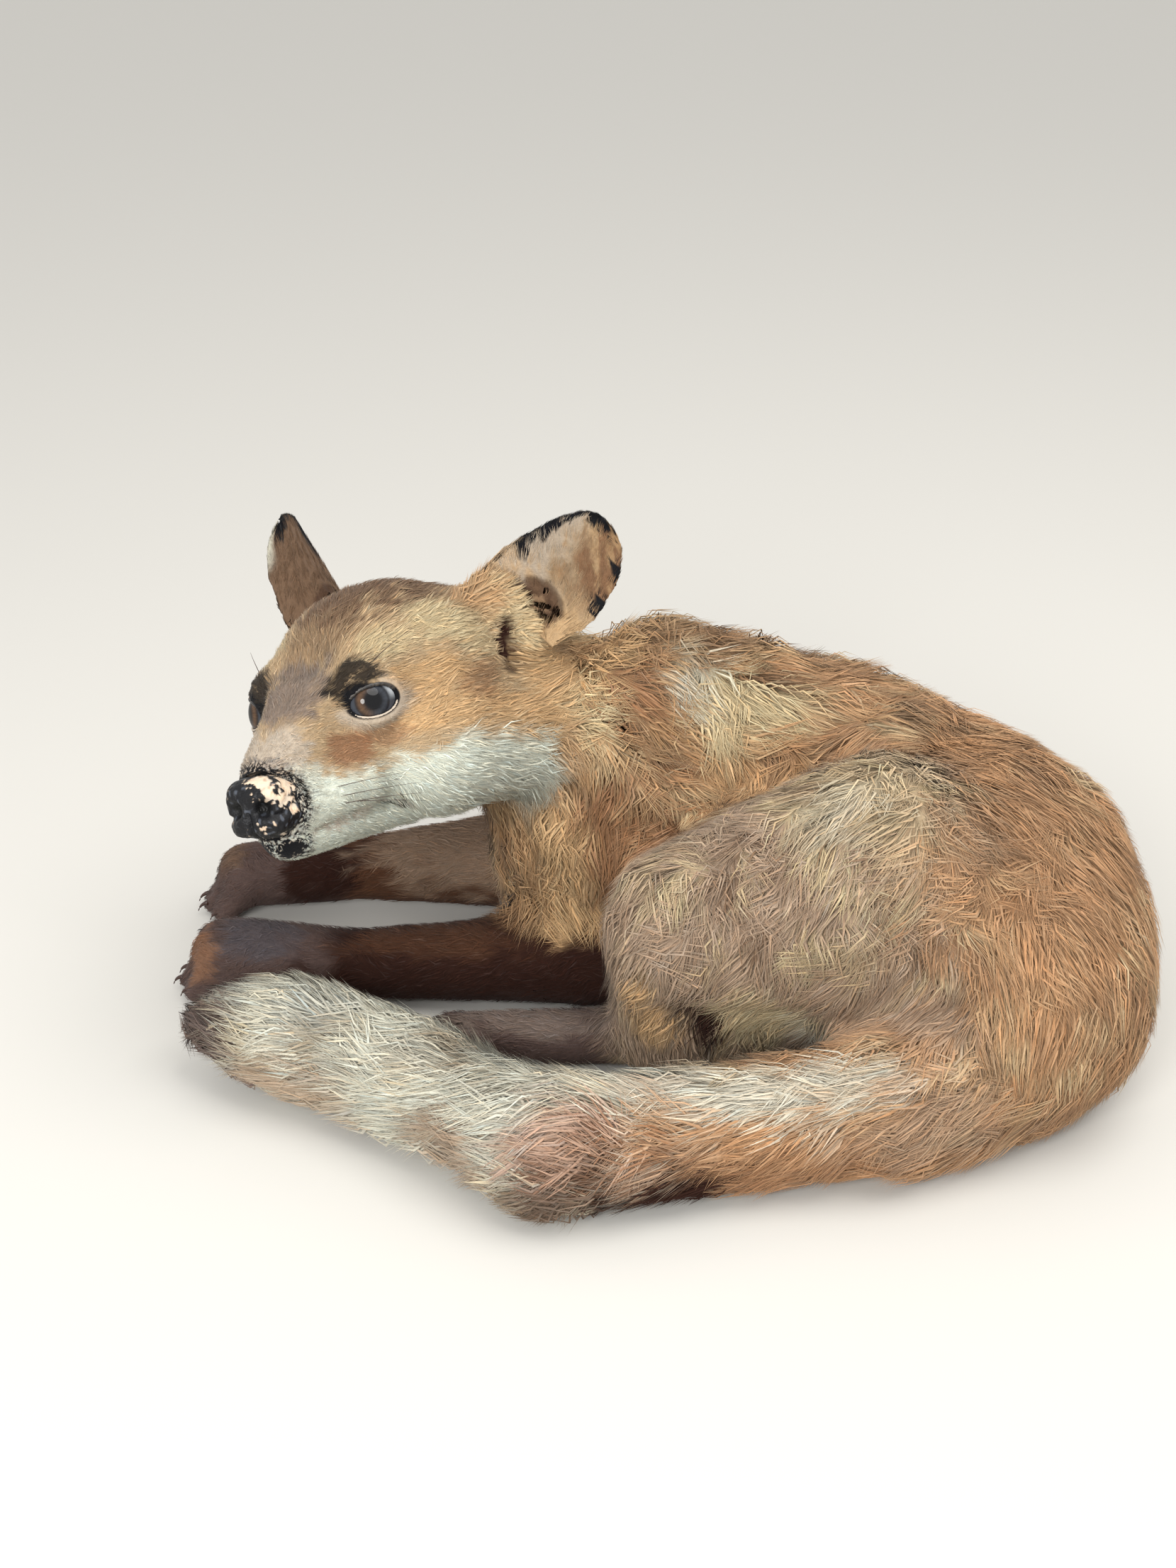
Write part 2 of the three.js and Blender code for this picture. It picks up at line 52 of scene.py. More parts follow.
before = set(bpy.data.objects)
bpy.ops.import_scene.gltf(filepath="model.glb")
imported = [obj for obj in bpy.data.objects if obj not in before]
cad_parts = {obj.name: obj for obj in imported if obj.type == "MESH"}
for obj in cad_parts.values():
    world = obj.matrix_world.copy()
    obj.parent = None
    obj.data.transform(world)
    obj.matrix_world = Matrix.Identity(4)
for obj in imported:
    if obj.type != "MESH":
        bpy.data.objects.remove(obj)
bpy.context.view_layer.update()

MM = 0.001
SIDES = {"left": 1, "right": -1}
BODY = "root"
COLOUR_LAYER = "coat"  # the stored colour that every finish reads
UV_MAP = "OFBake"  # the map that the finishes are baked through


# ---------------------------------------------------------------- arrays


def unit(v):
    """Rows of v, or v itself, at length one."""
    length = np.linalg.norm(v, axis=-1, keepdims=True)
    return v / np.maximum(length, 1e-12)


def dot(a, b):
    return (a * b).sum(-1, keepdims=True)


def flat_on(v, normal):
    """Directions laid flat on a surface with the normals."""
    return unit(v - normal * dot(v, normal))


def ramp(low, high, x):
    """Smooth step from 0 at low to 1 at high, which may be the smaller."""
    t = np.clip((x - low) / (high - low), 0, 1)
    return t * t * (3 - 2 * t)


def mix(a, b, t):
    return a + (b - a) * t


def read(items, field, width, kind=np.float32):
    """One property of every item of a Blender collection, as rows."""
    values = np.empty(len(items) * width, kind)
    items.foreach_get(field, values)
    return values.reshape(-1, width)


def linear(colour):
    """A colour as the screen shows it, in the linear values that shaders use."""
    c = np.asarray(colour, float)
    return np.where(c <= 0.04045, c / 12.92, ((c + 0.055) / 1.055) ** 2.4)


# ---------------------------------------------------------------- meshes and objects


def mesh_of(name, points, faces, smooth=True):
    """A mesh from arrays; every face has the same number of corners."""
    corners = faces.shape[1]
    mesh = bpy.data.meshes.new(name)
    mesh.vertices.add(len(points))
    mesh.vertices.foreach_set("co", points.astype(np.float32).ravel())
    mesh.loops.add(faces.size)
    mesh.loops.foreach_set("vertex_index", faces.astype(np.int32).ravel())
    mesh.polygons.add(len(faces))
    mesh.polygons.foreach_set("loop_start", np.arange(0, faces.size, corners, dtype=np.int32))
    mesh.polygons.foreach_set("use_smooth", np.full(len(faces), smooth))
    mesh.update(calc_edges=True)
    return mesh


def placed(data, place=(0, 0, 0), turn=(0, 0, 0)):
    """A new object in the scene, named as its data."""
    made = bpy.data.objects.new(data.name, data)
    made.location = place
    made.rotation_euler = turn
    bpy.context.scene.collection.objects.link(made)
    return made


def shown(mesh, material):
    """A new object of a mesh with its material."""
    mesh.materials.append(material)
    return placed(mesh)


def settle(piece, slot, *nodes):
    """Rides the piece on the fox and hides the CAD nodes that it stands for. The slot, its finish's name, is
    not used.
    """
    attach(piece, BODY)
    if nodes:
        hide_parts(*nodes)


def paint(mesh, colours):
    """Stores a linear colour for each vertex."""
    stored = mesh.attributes.new(COLOUR_LAYER, "FLOAT_COLOR", "POINT")
    rgba = np.ones((len(colours), 4), np.float32)
    rgba[:, :3] = colours
    stored.data.foreach_set("color", rgba.ravel())


def write_uv(mesh, uv):
    """Stores the map that the finish is baked through, one place for each face corner."""
    layer = mesh.uv_layers.new(name=UV_MAP)
    layer.data.foreach_set("uv", uv.astype(np.float32).ravel())


def tiles(count):
    """A map on which every triangle has a small place of its own."""
    across = math.ceil(math.sqrt(count))
    corner = np.stack([np.arange(count) % across, np.arange(count) // across], 1)
    shape = np.array([(0.15, 0.15), (0.85, 0.15), (0.15, 0.85)])
    return ((corner[:, None] + shape[None]) / across).reshape(-1, 2)


def turned_out(points, triangles):
    """The triangles facing outwards, whichever way they were given."""
    a, b, c = (points[triangles[:, k]] - points.mean(0) for k in range(3))
    return triangles if (a * np.cross(b, c)).sum() > 0 else triangles[:, ::-1]


def coloured(name, points, triangles, colours):
    """A closed mesh that has a colour for each vertex, or one for all."""
    mesh = mesh_of(name, points, turned_out(points, triangles))
    paint(mesh, np.broadcast_to(colours, points.shape))
    write_uv(mesh, tiles(len(triangles)))
    return mesh


def grid_faces(rows, columns, closed_rows=False, closed_columns=False):
    """Quads between the rows and columns of a grid of vertices."""
    r = np.arange(rows if closed_rows else rows - 1)
    c = np.arange(columns if closed_columns else columns - 1)
    r, c = (a.ravel() for a in np.meshgrid(r, c, indexing="ij"))
    r2, c2 = (r + 1) % rows, (c + 1) % columns
    return np.stack([r * columns + c, r * columns + c2, r2 * columns + c2, r2 * columns + c], 1)


def halves(quads):
    """Two triangles for each quad."""
    return np.concatenate([quads[:, [0, 1, 2]], quads[:, [0, 2, 3]]])


def fan(tip, ring):
    """Triangles between a vertex and a closed ring of vertices."""
    return np.stack([np.full(len(ring), tip), ring, np.roll(ring, -1)], 1)


def hoops(line, radii, side, rise, sides):
    """Circles of vertices round each point of a line, in the plane of side and rise."""
    turn = 2 * math.pi * np.arange(sides)[:, None] / sides
    ring = np.cos(turn) * side[:, None] + np.sin(turn) * rise[:, None]
    return (line[:, None] + ring * radii[:, None, None]).reshape(-1, 3)


def globe(rows, columns):
    """Directions and triangles of a ball, with its first vertex along X."""
    polar = math.pi * np.arange(1, rows)[:, None] / rows
    turn = 2 * math.pi * np.arange(columns)[None] / columns
    out = np.sin(polar)
    rings = np.stack([np.cos(polar) + 0 * turn, out * np.cos(turn), out * np.sin(turn)], 2)
    points = np.concatenate([[(1, 0, 0)], rings.reshape(-1, 3), [(-1, 0, 0)]])
    ring, last = np.arange(columns), len(points) - 1
    top, bottom = fan(0, 1 + ring), fan(last, last - columns + ring)[:, [0, 2, 1]]
    quads = grid_faces(rows - 1, columns, closed_columns=True)[:, ::-1] + 1
    return points, np.concatenate([top, halves(quads), bottom])


def tube(stops, radii, sides):
    """Vertices and triangles of a closed tube along a path, with pointed ends."""
    along = unit(np.gradient(stops, axis=0))
    helper = np.where(np.abs(along[:, 2:]) < 0.9, [[0, 0, 1.0]], [[1.0, 0, 0]])
    side = unit(np.cross(along, helper))
    rise = np.cross(side, along)
    points = hoops(stops, radii, side, rise, sides)
    count, ring = len(points), np.arange(sides)
    points = np.concatenate([points, [stops[0] - along[0] * radii[0]], [stops[-1] + along[-1] * radii[-1]]])
    quads = grid_faces(len(stops), sides, closed_columns=True)
    caps = fan(count, ring), fan(count + 1, count - sides + ring)[:, [0, 2, 1]]
    return points, np.concatenate([quads[:, [0, 2, 1]], quads[:, [0, 3, 2]], *caps])


def together(parts):
    """Several (vertices, triangles) as one."""
    starts = np.cumsum([0, *(len(points) for points, _ in parts)])
    points = np.concatenate([points for points, _ in parts])
    return points, np.concatenate([faces + start for (_, faces), start in zip(parts, starts)])


class Surface:
    """A triangulated surface as arrays, with what is spread over its vertices."""

    def __init__(self, mesh):
        mesh.calc_loop_triangles()
        self.points = read(mesh.vertices, "co", 3).astype(float)
        self.triangles = read(mesh.loop_triangles, "vertices", 3, np.int32)
        self.edges = read(mesh.edges, "vertices", 2, np.int32)
        self.degree = np.bincount(self.edges.ravel(), minlength=len(self.points))

    def corners(self):
        return (self.points[self.triangles[:, k]] for k in range(3))

    def normals(self):
        a, b, c = self.corners()
        facing = np.cross(b - a, c - a)
        total = np.zeros_like(self.points)
        for k in range(3):
            for axis in range(3):
                total[:, axis] += np.bincount(self.triangles[:, k], facing[:, axis], len(total))
        return unit(total)

    def spread(self, values, rounds):
        """Evens values out between neighbours."""
        values = np.asarray(values, float)
        flat = values.reshape(len(values), -1).copy()
        a, b = self.edges.T
        count = len(flat)
        for _ in range(rounds):
            for k in range(flat.shape[1]):
                column = flat[:, k]
                sums = np.bincount(a, column[b], count) + np.bincount(b, column[a], count)
                flat[:, k] = 0.5 * column + 0.5 * sums / self.degree
        return flat.reshape(values.shape)

    def mottle(self, seed, rounds):
        """A smooth random pattern with unit spread, coarser with more rounds."""
        rough = np.random.default_rng(seed).standard_normal(len(self.points))
        even = self.spread(rough, rounds)
        return (even - even.mean()) / even.std()


# ---------------------------------------------------------------- the head's frame


def middle(node):
    """Middle of a node's box."""
    low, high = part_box(node)
    return np.array((low + high) / 2)


NOSE_REACH, NOSE_DROP = 51.5, 32.0  # mm from the middle of the eyes to that of the nose
EYE_BACK, EYE_LOW = 5.5, 1.0  # mm from the head's origin to the middle of the eyes


def head_axes():
    """The head's origin and its forward, left and up directions, worked out from the eyes and the nose."""
    eye_left, eye_right, nose = (middle(n) for n in ("eye_left", "eye_right", "nose_pad"))
    left = unit(eye_left - eye_right)
    eyes = (eye_left + eye_right) / 2
    ahead = flat_on(nose - eyes, left)
    above = np.cross(ahead, left)
    droop = math.atan2(NOSE_DROP, NOSE_REACH)
    forward = ahead * math.cos(droop) + above * math.sin(droop)
    up = np.cross(forward, left)
    origin = eyes + (forward * EYE_BACK + up * EYE_LOW) * MM
    return origin, np.stack([forward, left, up])


HEAD_ORIGIN, HEAD_AXES = head_axes()


LEAN, LEAN_FROM = 0.16, 8.0  # how much the head leans to the left, from so many mm behind the eyes


def lean(forward):
    """How far to the left the head's middle lies."""
    return LEAN * np.maximum(-forward - LEAN_FROM, 0)


def in_head(points):
    """Places in millimetres forward, left and up of the point between the eyes, with the lean taken out."""
    places = (points - HEAD_ORIGIN) @ HEAD_AXES.T / MM
    places[:, 1] -= lean(places[:, 0])
    return places


def on_head(places):
    """The way back from in_head."""
    places = np.array(places, float)
    places[:, 1] += lean(places[:, 0])
    return HEAD_ORIGIN + places @ HEAD_AXES * MM


def folded(p):
    """Places with the right half laid on the left, which stands for both."""
    return np.stack([p[:, 0], np.abs(p[:, 1]), p[:, 2]], 1)


# ---------------------------------------------------------------- distance fields, in millimetres


def within(p, centre, radii):
    """Distance from a ball's centre, in parts of its radii."""
    return np.linalg.norm((p - centre) / radii, axis=1)


def ball(p, centre, radii):
    """Ball with a radius of its own along each axis."""
    k0 = within(p, centre, radii)
    k1 = np.linalg.norm((p - centre) / radii / radii, axis=1)
    return k0 * (k0 - 1) / np.maximum(k1, 1e-9)


def rod(p, a, radius_a, b, radius_b):
    """Round cone from a to b."""
    a, b = np.asarray(a, float), np.asarray(b, float)
    along = b - a
    t = np.clip((p - a) @ along / (along @ along), 0, 1)
    return np.linalg.norm(p - a - t[:, None] * along, axis=-1) - mix(radius_a, radius_b, t)


def path_distance(p, stops):
    """Distance to a bent line."""
    return np.min([rod(p, a, 0, b, 0) for a, b in zip(stops, stops[1:])], axis=0)


def joined(roundness, first, *others):
    """Forms blended where they meet."""
    for other in others:
        h = np.maximum(roundness - np.abs(first - other), 0) / roundness
        first = np.minimum(first, other) - h * h * roundness / 4
    return first


def dented(form, distance, reach, depth):
    """A form pressed in by a depth where a distance is small; a negative depth makes a swelling."""
    return form + depth * np.exp(-((distance / reach) ** 2))


# ---------------------------------------------------------------- the coat's places

FUR = namedtuple("FUR", "lie depth length width colour")

# For each node with a coat: which way it lies, its depth, a tuft's length and width in mm, and its colour.
NODE_FUR = {
    "head": FUR((0.43, 0.86, -0.29), 3.5, 11, 0.9, "buff"),
    "lower_jaw": FUR((0.43, 0.86, -0.29), 2.0, 6, 0.8, "white"),
    "neck": FUR((0.85, -0.25, -0.45), 8, 20, 1.15, "tawny"),
    "chest": FUR((0.75, -0.25, -0.6), 8, 21, 1.15, "tawny"),
    "mid_back": FUR((0.9, -0.2, -0.4), 8, 21, 1.1, "russet"),
    "rump": FUR((0.15, -0.65, -0.75), 7, 20, 1.1, "russet"),
    "upper_arm_left": FUR((0.3, -0.2, -0.95), 7, 20, 1.1, "tawny"),
    "upper_arm_right": FUR((0.3, 0.2, -0.95), 7, 20, 1.1, "tawny"),
    "forearm_left": FUR((-1.0, 0.1, -0.1), 1.8, 7, 0.9, "dark"),
    "forearm_right": FUR((-1.0, 0.0, -0.1), 1.8, 7, 0.9, "brown"),
    "forepaw_left": FUR((-1.0, 0.0, -0.2), 1.6, 5, 0.8, "smoke"),
    "forepaw_right": FUR((-1.0, 0.0, -0.2), 1.6, 5, 0.8, "smoke"),
    "thigh_left": FUR((-0.45, -0.45, -0.75), 6.5, 18, 1.0, "fawn"),
    "thigh_right": FUR((-0.5, 0.4, -0.75), 6.5, 18, 1.0, "fawn"),
    "shank_left": FUR((-0.1, -0.3, -0.95), 4, 13, 0.9, "fawn"),
    "shank_right": FUR((0.6, 0.2, -0.7), 4, 13, 0.9, "fawn"),
    "hind_foot_left": FUR((-1.0, 0.0, -0.1), 1.8, 6, 0.8, "smoke"),
    "hind_foot_right": FUR((-1.0, 0.2, -0.1), 1.8, 6, 0.8, "smoke"),
    "tail_base": FUR((-0.85, -0.45, -0.05), 8, 23, 1.15, "russet"),
    "tail_middle": FUR((-0.98, -0.1, 0.0), 9, 26, 1.2, "cream"),
    "tail_tip": FUR((-0.95, 0.3, 0.0), 9, 25, 1.2, "cream"),
    "ear_left": FUR((0.1, 0.0, 1.0), 0.8, 4.5, 0.6, "buff"),
    "ear_right": FUR((-0.1, 0.0, 1.0), 0.8, 4.5, 0.6, "umber"),
}
EARS = ("ear_left", "ear_right")
EYES = ("eye_left", "eye_right")
FLESH = tuple(name for name in NODE_FUR if name not in EARS)

# ---------------------------------------------------------------- markings

# Each mark is a ball's centre and radii, its colour and its strength. These are in the head's millimetres,
# and the second number of a centre counts outwards on both sides.
HEAD_MARKS = (
    ((-46, 0, 42), (36, 26, 24), "umber", 1.0),  # crown
    ((-10, 0, 28), (26, 14, 16), "umber", 0.55),  # forehead
    ((16, 0, 6), (24, 12, 14), "taupe", 0.9),  # bridge of the muzzle
    ((40, 0, -15), (10, 14, 11), "sand", 0.9),  # muzzle behind the nose
    ((35, 14, -24), (10, 7, 6), "cream", 0.9),
    ((20, 20, -31), (6, 5, 4), "taupe", 0.5),  # roots of the whiskers
    ((-12, 24, 20), (13, 8, 8), "straw", 0.75),  # pale band from the brow to the ear
    ((-34, 31, 26), (16, 9, 9), "straw", 0.85),
    ((-52, 35, 22), (16, 11, 12), "straw", 0.75),
    ((-68, 32, 36), (16, 12, 12), "tawny", 0.7),  # before the ear
    ((-78, 47, 22), (12, 12, 22), "straw", 0.6),
    ((-24, 35, 3), (20, 12, 11), "orange", 0.95),  # cheek
    ((-18, 38, -9), (18, 12, 9), "orange", 1.0),
    ((-50, 44, -13), (28, 13, 10), "orange", 0.95),
    ((-82, 48, -8), (22, 14, 18), "orange", 0.95),
    ((-90, 54, -16), (12, 10, 12), "straw", 0.6),
    ((-46, 42, 0), (12, 8, 8), "rust", 0.5),  # behind the eye
    ((11, 20, -18), (12, 8, 8), "rust", 0.85),  # side of the muzzle
    ((-1, 28, -14), (13, 7, 5), "rust", 0.55),  # under the eye
    ((32, 9, -13), (10, 9, 8), "sand", 0.85),
)

# These are in the frame's millimetres.
BODY_MARKS = (
    ((-92, 8, 36), (50, 14, 9), "brown", 0.7),  # top of the near foreleg
    ((-88, 2, 14), (60, 14, 14), "dark", 1.0),  # its lower side: dark coat, with painted shade where it lies in shadow near the floor
    ((-196, 94, 32), (12, 13, 10), "umber", 0.6),  # far paw
    ((-146, 86, 24), (20, 20, 22), "dark", 1.0),  # far wrist: dark brown coat, with painted shade under the chin
    ((-196, 16, 24), (9, 14, 12), "rust", 0.6),  # toes of the near paw
    ((-170, 18, 36), (18, 18, 10), "slate", 0.4),
    ((4, 48, 170), (52, 24, 22), "umber", 0.6),  # withers
    ((-16, 34, 150), (14, 14, 20), "rust", 0.75),  # dark wedge on the neck
    ((36, 26, 146), (24, 14, 15), "straw", 0.9),  # thin coat on the shoulder
    ((12, 34, 152), (12, 8, 9), "cream", 0.6),
    ((-12, 8, 90), (24, 18, 34), "rust", 0.75),  # shoulder's lower side
    ((-34, 15, 68), (13, 14, 34), "orange", 0.95),  # front edge of the chest
    ((-33, 42, 142), (15, 18, 15), "orange", 0.9),  # below the ear: golden coat, with painted light where the ear's shadow falls
    ((-28, 32, 132), (9, 12, 15), "straw", 0.8),
    # Also painted light where the ear's shadow falls.
    ((-19, 51, 151), (11, 12, 12), "orange", 0.9),
    ((94, -44, 138), (42, 34, 20), "straw", 0.45),  # hip
    ((72, -48, 140), (20, 16, 12), "cream", 0.3),
    ((124, -50, 128), (16, 18, 14), "taupe", 0.6),  # swirl beside the hip
    ((88, -14, 146), (14, 12, 10), "umber", 0.6),
    ((150, -60, 110), (44, 54, 38), "russet", 0.8),  # rump
    ((160, -48, 116), (36, 36, 26), "umber", 0.22),
    ((1, -61, 53), (14, 12, 14), "orange", 0.9),  # knee: painted light, brighter than its pinkish coat, where it lies in shade
    ((50, -65, 48), (24, 14, 20), "straw", 0.9),  # thigh above the tail
    ((80, -64, 36), (22, 14, 14), "cream", 0.6),
    ((24, -62, 55), (7, 14, 18), "dark", 1.0),  # painted shade in the crease between thigh and shank
    ((-84, 86, 38), (44, 30, 22), "fawn", 0.55),  # upper part of the far foreleg
    ((-52, -34, 26), (44, 18, 8), "taupe", 0.6),  # top of the near hind foot
    ((-22, -136, 38), (28, 14, 14), "rose", 0.75),
    ((-20, -136, 34), (20, 14, 9), "rust", 0.4),
    ((44, -125, 32), (44, 18, 20), "russet", 0.9),  # outer side of the tail's root
    ((20, -112, 48), (22, 12, 10), "fawn", 0.7),
    ((58, -112, 50), (50, 13, 10), "cream", 0.75),
    # Painted shade along the lower edge of the tail's root.
    ((70, -128, 18), (60, 16, 10), "rust", 0.5),
    ((120, -110, 34), (36, 26, 18), "fawn", 0.5),
    # Painted shade along the tail's lower edge at its bend, in this mark and the next three.
    ((4, -134, 22), (26, 14, 12), "rust", 0.75),
    ((-24, -139, 16), (32, 18, 13), "brown", 0.8),  # tail, at its bend
    ((0, -134, 8), (38, 16, 8), "dark", 0.8),
    ((24, -129, 14), (24, 16, 12), "dark", 1.0),  # dark spot at the tail's lower edge: painted shade near the floor
    ((-76, -124, 24), (44, 16, 14), "fawn", 0.75),
    ((-145, -78, 20), (52, 16, 13), "fawn", 0.8),
    ((-120, -60, 50), (30, 16, 8), "slate", 0.3),
    ((-184, -48, 26), (30, 26, 24), "smoke", 0.95),  # tip
    ((-198, -22, 34), (10, 14, 12), "dark", 0.8),
)
CURLY = (84, -58, 122), (76, 50, 48)  # where the coat curls in tight clumps

# The rest is in the head's millimetres. Cheek and lip are white under these (forward, up) places.
WHITE_LINE = ((-95, -40), (-65, -27), (-40, -20), (-20, -19), (6, -27), (30, -25))
NOSE_PLACE, NOSE_RADII = (46, 2, -33), (10.5, 12.5, 11.5)
CHIN_PAINT = (39, 6, -51), (10, 9, 7)
BROW_LINE = [(9, 16, 4.5), (5.5, 18.5, 9.5), (2, 20.5, 13), (-1.5, 27.5, 10.5), (3, 25, 7.5), (7, 21.5, 3)]
BROW_WIDTH = 3.7
SLIT_LINE = [(-70, 42, 21), (-71, 39, 4)]
RUFF = (-70, 52, -36), (40, 30, 34)  # where the cheek's coat is long


# ---------------------------------------------------------------- settings


def tint(name, value):
    """A colour as the screen shows it."""
    about = f"{name} of the coat, skin or stage"
    return FloatVectorProperty(
        name=name, description=about, subtype="COLOR_GAMMA", size=3, min=0, max=1, default=value
    )


def strength(name, description, value):
    return FloatProperty(name=name, description=description, default=value, min=0)


class FoxColours(bpy.types.PropertyGroup):
    """The coat's colours."""

    russet: tint("Russet", (0.75, 0.58, 0.43))
    tawny: tint("Tawny", (0.75, 0.59, 0.43))
    rust: tint("Rust", (0.60, 0.43, 0.31))
    orange: tint("Orange", (0.84, 0.69, 0.51))
    buff: tint("Buff", (0.76, 0.65, 0.51))
    fawn: tint("Fawn", (0.71, 0.61, 0.52))
    straw: tint("Straw", (0.85, 0.77, 0.61))
    cream: tint("Cream", (0.87, 0.86, 0.79))
    white: tint("White", (0.92, 0.94, 0.88))
    rose: tint("Rose", (0.72, 0.57, 0.5))
    umber: tint("Umber", (0.47, 0.37, 0.29))
    taupe: tint("Taupe", (0.53, 0.47, 0.43))
    sand: tint("Sand", (0.77, 0.71, 0.64))
    brown: tint("Brown", (0.36, 0.24, 0.17))
    smoke: tint("Smoke", (0.37, 0.30, 0.28))
    dark: tint("Dark brown", (0.21, 0.12, 0.09))
    black: tint("Black", (0.07, 0.07, 0.085))
    slate: tint("Slate", (0.34, 0.36, 0.4))
    peach: tint("Filler", (0.86, 0.76, 0.66))
    iris: tint("Iris", (0.36, 0.27, 0.2))
    sclera: tint("Pale of the eye", (0.80, 0.82, 0.84))


class FoxCoat(bpy.types.PropertyGroup):
    """The coat's make."""

    share: FloatProperty(
        name="Share of tufts",
        description="Part of the full number of tufts that is made",
        subtype="FACTOR",
        default=1.0,
        min=0.02,
        max=1.0,
    )
    cell: FloatProperty(
        name="Skin cell",
        description="Size of the skin's faces before the face is refined",
        subtype="DISTANCE",
        default=0.0023,
        min=0.001,
        max=0.01,
    )
    seed: IntProperty(name="Seed", description="Start of everything random", default=7, min=0)


class FoxStage(bpy.types.PropertyGroup):
    """The floor and the lights."""

    floor: tint("Floor", (0.78, 0.77, 0.75))
    key: strength("Key light", "Power of the large lamp, in watts", 13.0)
    fill: strength("Fill light", "Power of the second lamp, in watts", 14.0)
    sky: strength("Sky", "Strength of the light from all round", 1.0)


def colour(name):
    """A colour of the settings, linear."""
    return linear(getattr(bpy.context.scene.fox_colours, name))


# ---------------------------------------------------------------- skin: form

SWELL = 0.8  # mm added round each node, so that the gaps between them close
FIRM_ROUNDS, SOFT_ROUNDS = 4, 48  # how much the facets are evened out on feet and face, and on the body
FIRM = ("head", "lower_jaw", "forepaw", "hind_foot")
SHAGGY = ("neck", "chest", "mid_back", "upper_arm")
RELIEF = 1.7  # mm, how far the shaggy coat rises and falls
COAT_TONE = 0.77  # evens the coat's colours out with the lights
FACE_FROM, FACE_HALF = -62.0, 75  # mm forward of the eyes, and to the side or down, that have finer faces
FORM_FADES = -104, -80  # mm forward of the eyes, between which the head's own form begins
MIDDLE_FADES = 5, 2  # mm to the side, between which the skin along the head's middle is evened out
PRESSED_FADES, PRESSED = (0.022, 0.003), 1.2  # heights that the coat is pressed between, and to how many mm
LOWEST = 0.0008  # height of the skin over the floor

# Random patterns on the skin: seed, and rounds of evening out.
RELIEF_PATTERN = 31, 14
SWIRL_PATTERNS = (1, 10), (2, 10), (3, 10)
RAGGED_FINE, RAGGED_COARSE = (11, 4), (12, 14)
FINE, FINEST = (13, 2), (14, 1)
# For each stray colour, where it lies in wide patches and in tight clumps.
STRAYS = {"straw": ((21, 30), (23, 7)), "umber": ((22, 30), (24, 7))}


def flesh_shell(cell):
    """One closed net round all the flesh nodes, and over the eyes."""
    bm = bmesh.new()
    for name in FLESH + EYES:
        bm.from_mesh(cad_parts[name].data)
    bmesh.ops.remove_doubles(bm, verts=bm.verts, dist=1e-5)
    bm.normal_update()
    for vertex in bm.verts:
        vertex.co += vertex.normal * SWELL * MM
    rough = bpy.data.meshes.new("flesh")
    bm.to_mesh(rough)
    bm.free()
    carrier = placed(rough)
    remesh = carrier.modifiers.new("net", "REMESH")
    remesh.mode = "VOXEL"
    remesh.voxel_size = cell
    bpy.context.view_layer.update()
    evaluated = carrier.evaluated_get(bpy.context.evaluated_depsgraph_get())
    net = bpy.data.meshes.new_from_object(evaluated)
    bpy.data.objects.remove(carrier)
    return net


def refine_face(net):
    """Halves the faces from the brow to the nose, again round the eyes and nose, and makes all triangles."""
    bm = bmesh.new()
    bm.from_mesh(net)
    halve(bm, lambda p: (p[:, 0] > FACE_FROM) & (np.abs(p[:, 1]) < FACE_HALF) & (p[:, 2] > -FACE_HALF))
    halve(bm, lambda p: to_feature(p) < 1)
    bmesh.ops.triangulate(bm, faces=bm.faces)
    bm.to_mesh(net)
    bm.free()
    return net


def halve(bm, choose):
    """Halves the edges of the chosen vertices, which are picked by their place on the head."""
    bm.verts.ensure_lookup_table()
    bm.verts.index_update()
    chosen = choose(in_head(np.array([v.co for v in bm.verts])))
    edges = [e for e in bm.edges if chosen[e.verts[0].index] and chosen[e.verts[1].index]]
    bmesh.ops.subdivide_edges(bm, edges=edges, cuts=1, use_grid_fill=True)


FINE_EYE, FINE_NOSE = 17, 25  # mm round the opening of an eye, and round the nose, that are made fine


def to_feature(places):
    """Distance to the nearer eye or the nose, in parts of the distance that is made fine."""
    q = folded(places)
    return np.minimum(to_opening(q) / FINE_EYE, np.linalg.norm(q - NOSE_PLACE, axis=1) / FINE_NOSE)


def to_opening(q):
    """Distance to the middle of the eye's opening, from places on the left half."""
    return np.linalg.norm(q - EYE_CENTRE - EYE_AXIS * EYEBALL, axis=1)


def nearest_nodes(points):
    """The index in FLESH of the node that each point lies nearest to."""
    parts = []
    for name in FLESH:
        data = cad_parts[name].data
        data.calc_loop_triangles()
        parts.append((read(data.vertices, "co", 3), read(data.loop_triangles, "vertices", 3, np.int32)))
    owners = np.repeat(np.arange(len(parts)), [len(faces) for _, faces in parts])
    vertices, triangles = together(parts)
    tree = BVHTree.FromPolygons(vertices.tolist(), triangles.tolist())
    return np.array([owners[tree.find_nearest(Vector(p))[2]] for p in points])


# The middle of each paw's front, before its toes, and the way that it points, in the frame's millimetres.
PAWS = {
    "forepaw_left": ((-184.5, 25.6, 18), (-0.992, 0.129, 0)),
    "forepaw_right": ((-184.8, 93.6, 19), (-0.994, -0.113, 0)),
    "hind_foot_left": ((-82.5, -31.4, 12), (-1.0, -0.026, 0)),
    "hind_foot_right": ((1.2, 131.6, 12), (-0.981, 0.194, 0)),
}
TOE_SPREAD, TOE_REACH, TOE_RADIUS = 9.0, 14.0, 7.0  # mm between toes, and how far they stand out
GROOVE_DEPTH, GROOVE_HALF = 2.6, 1.7  # mm


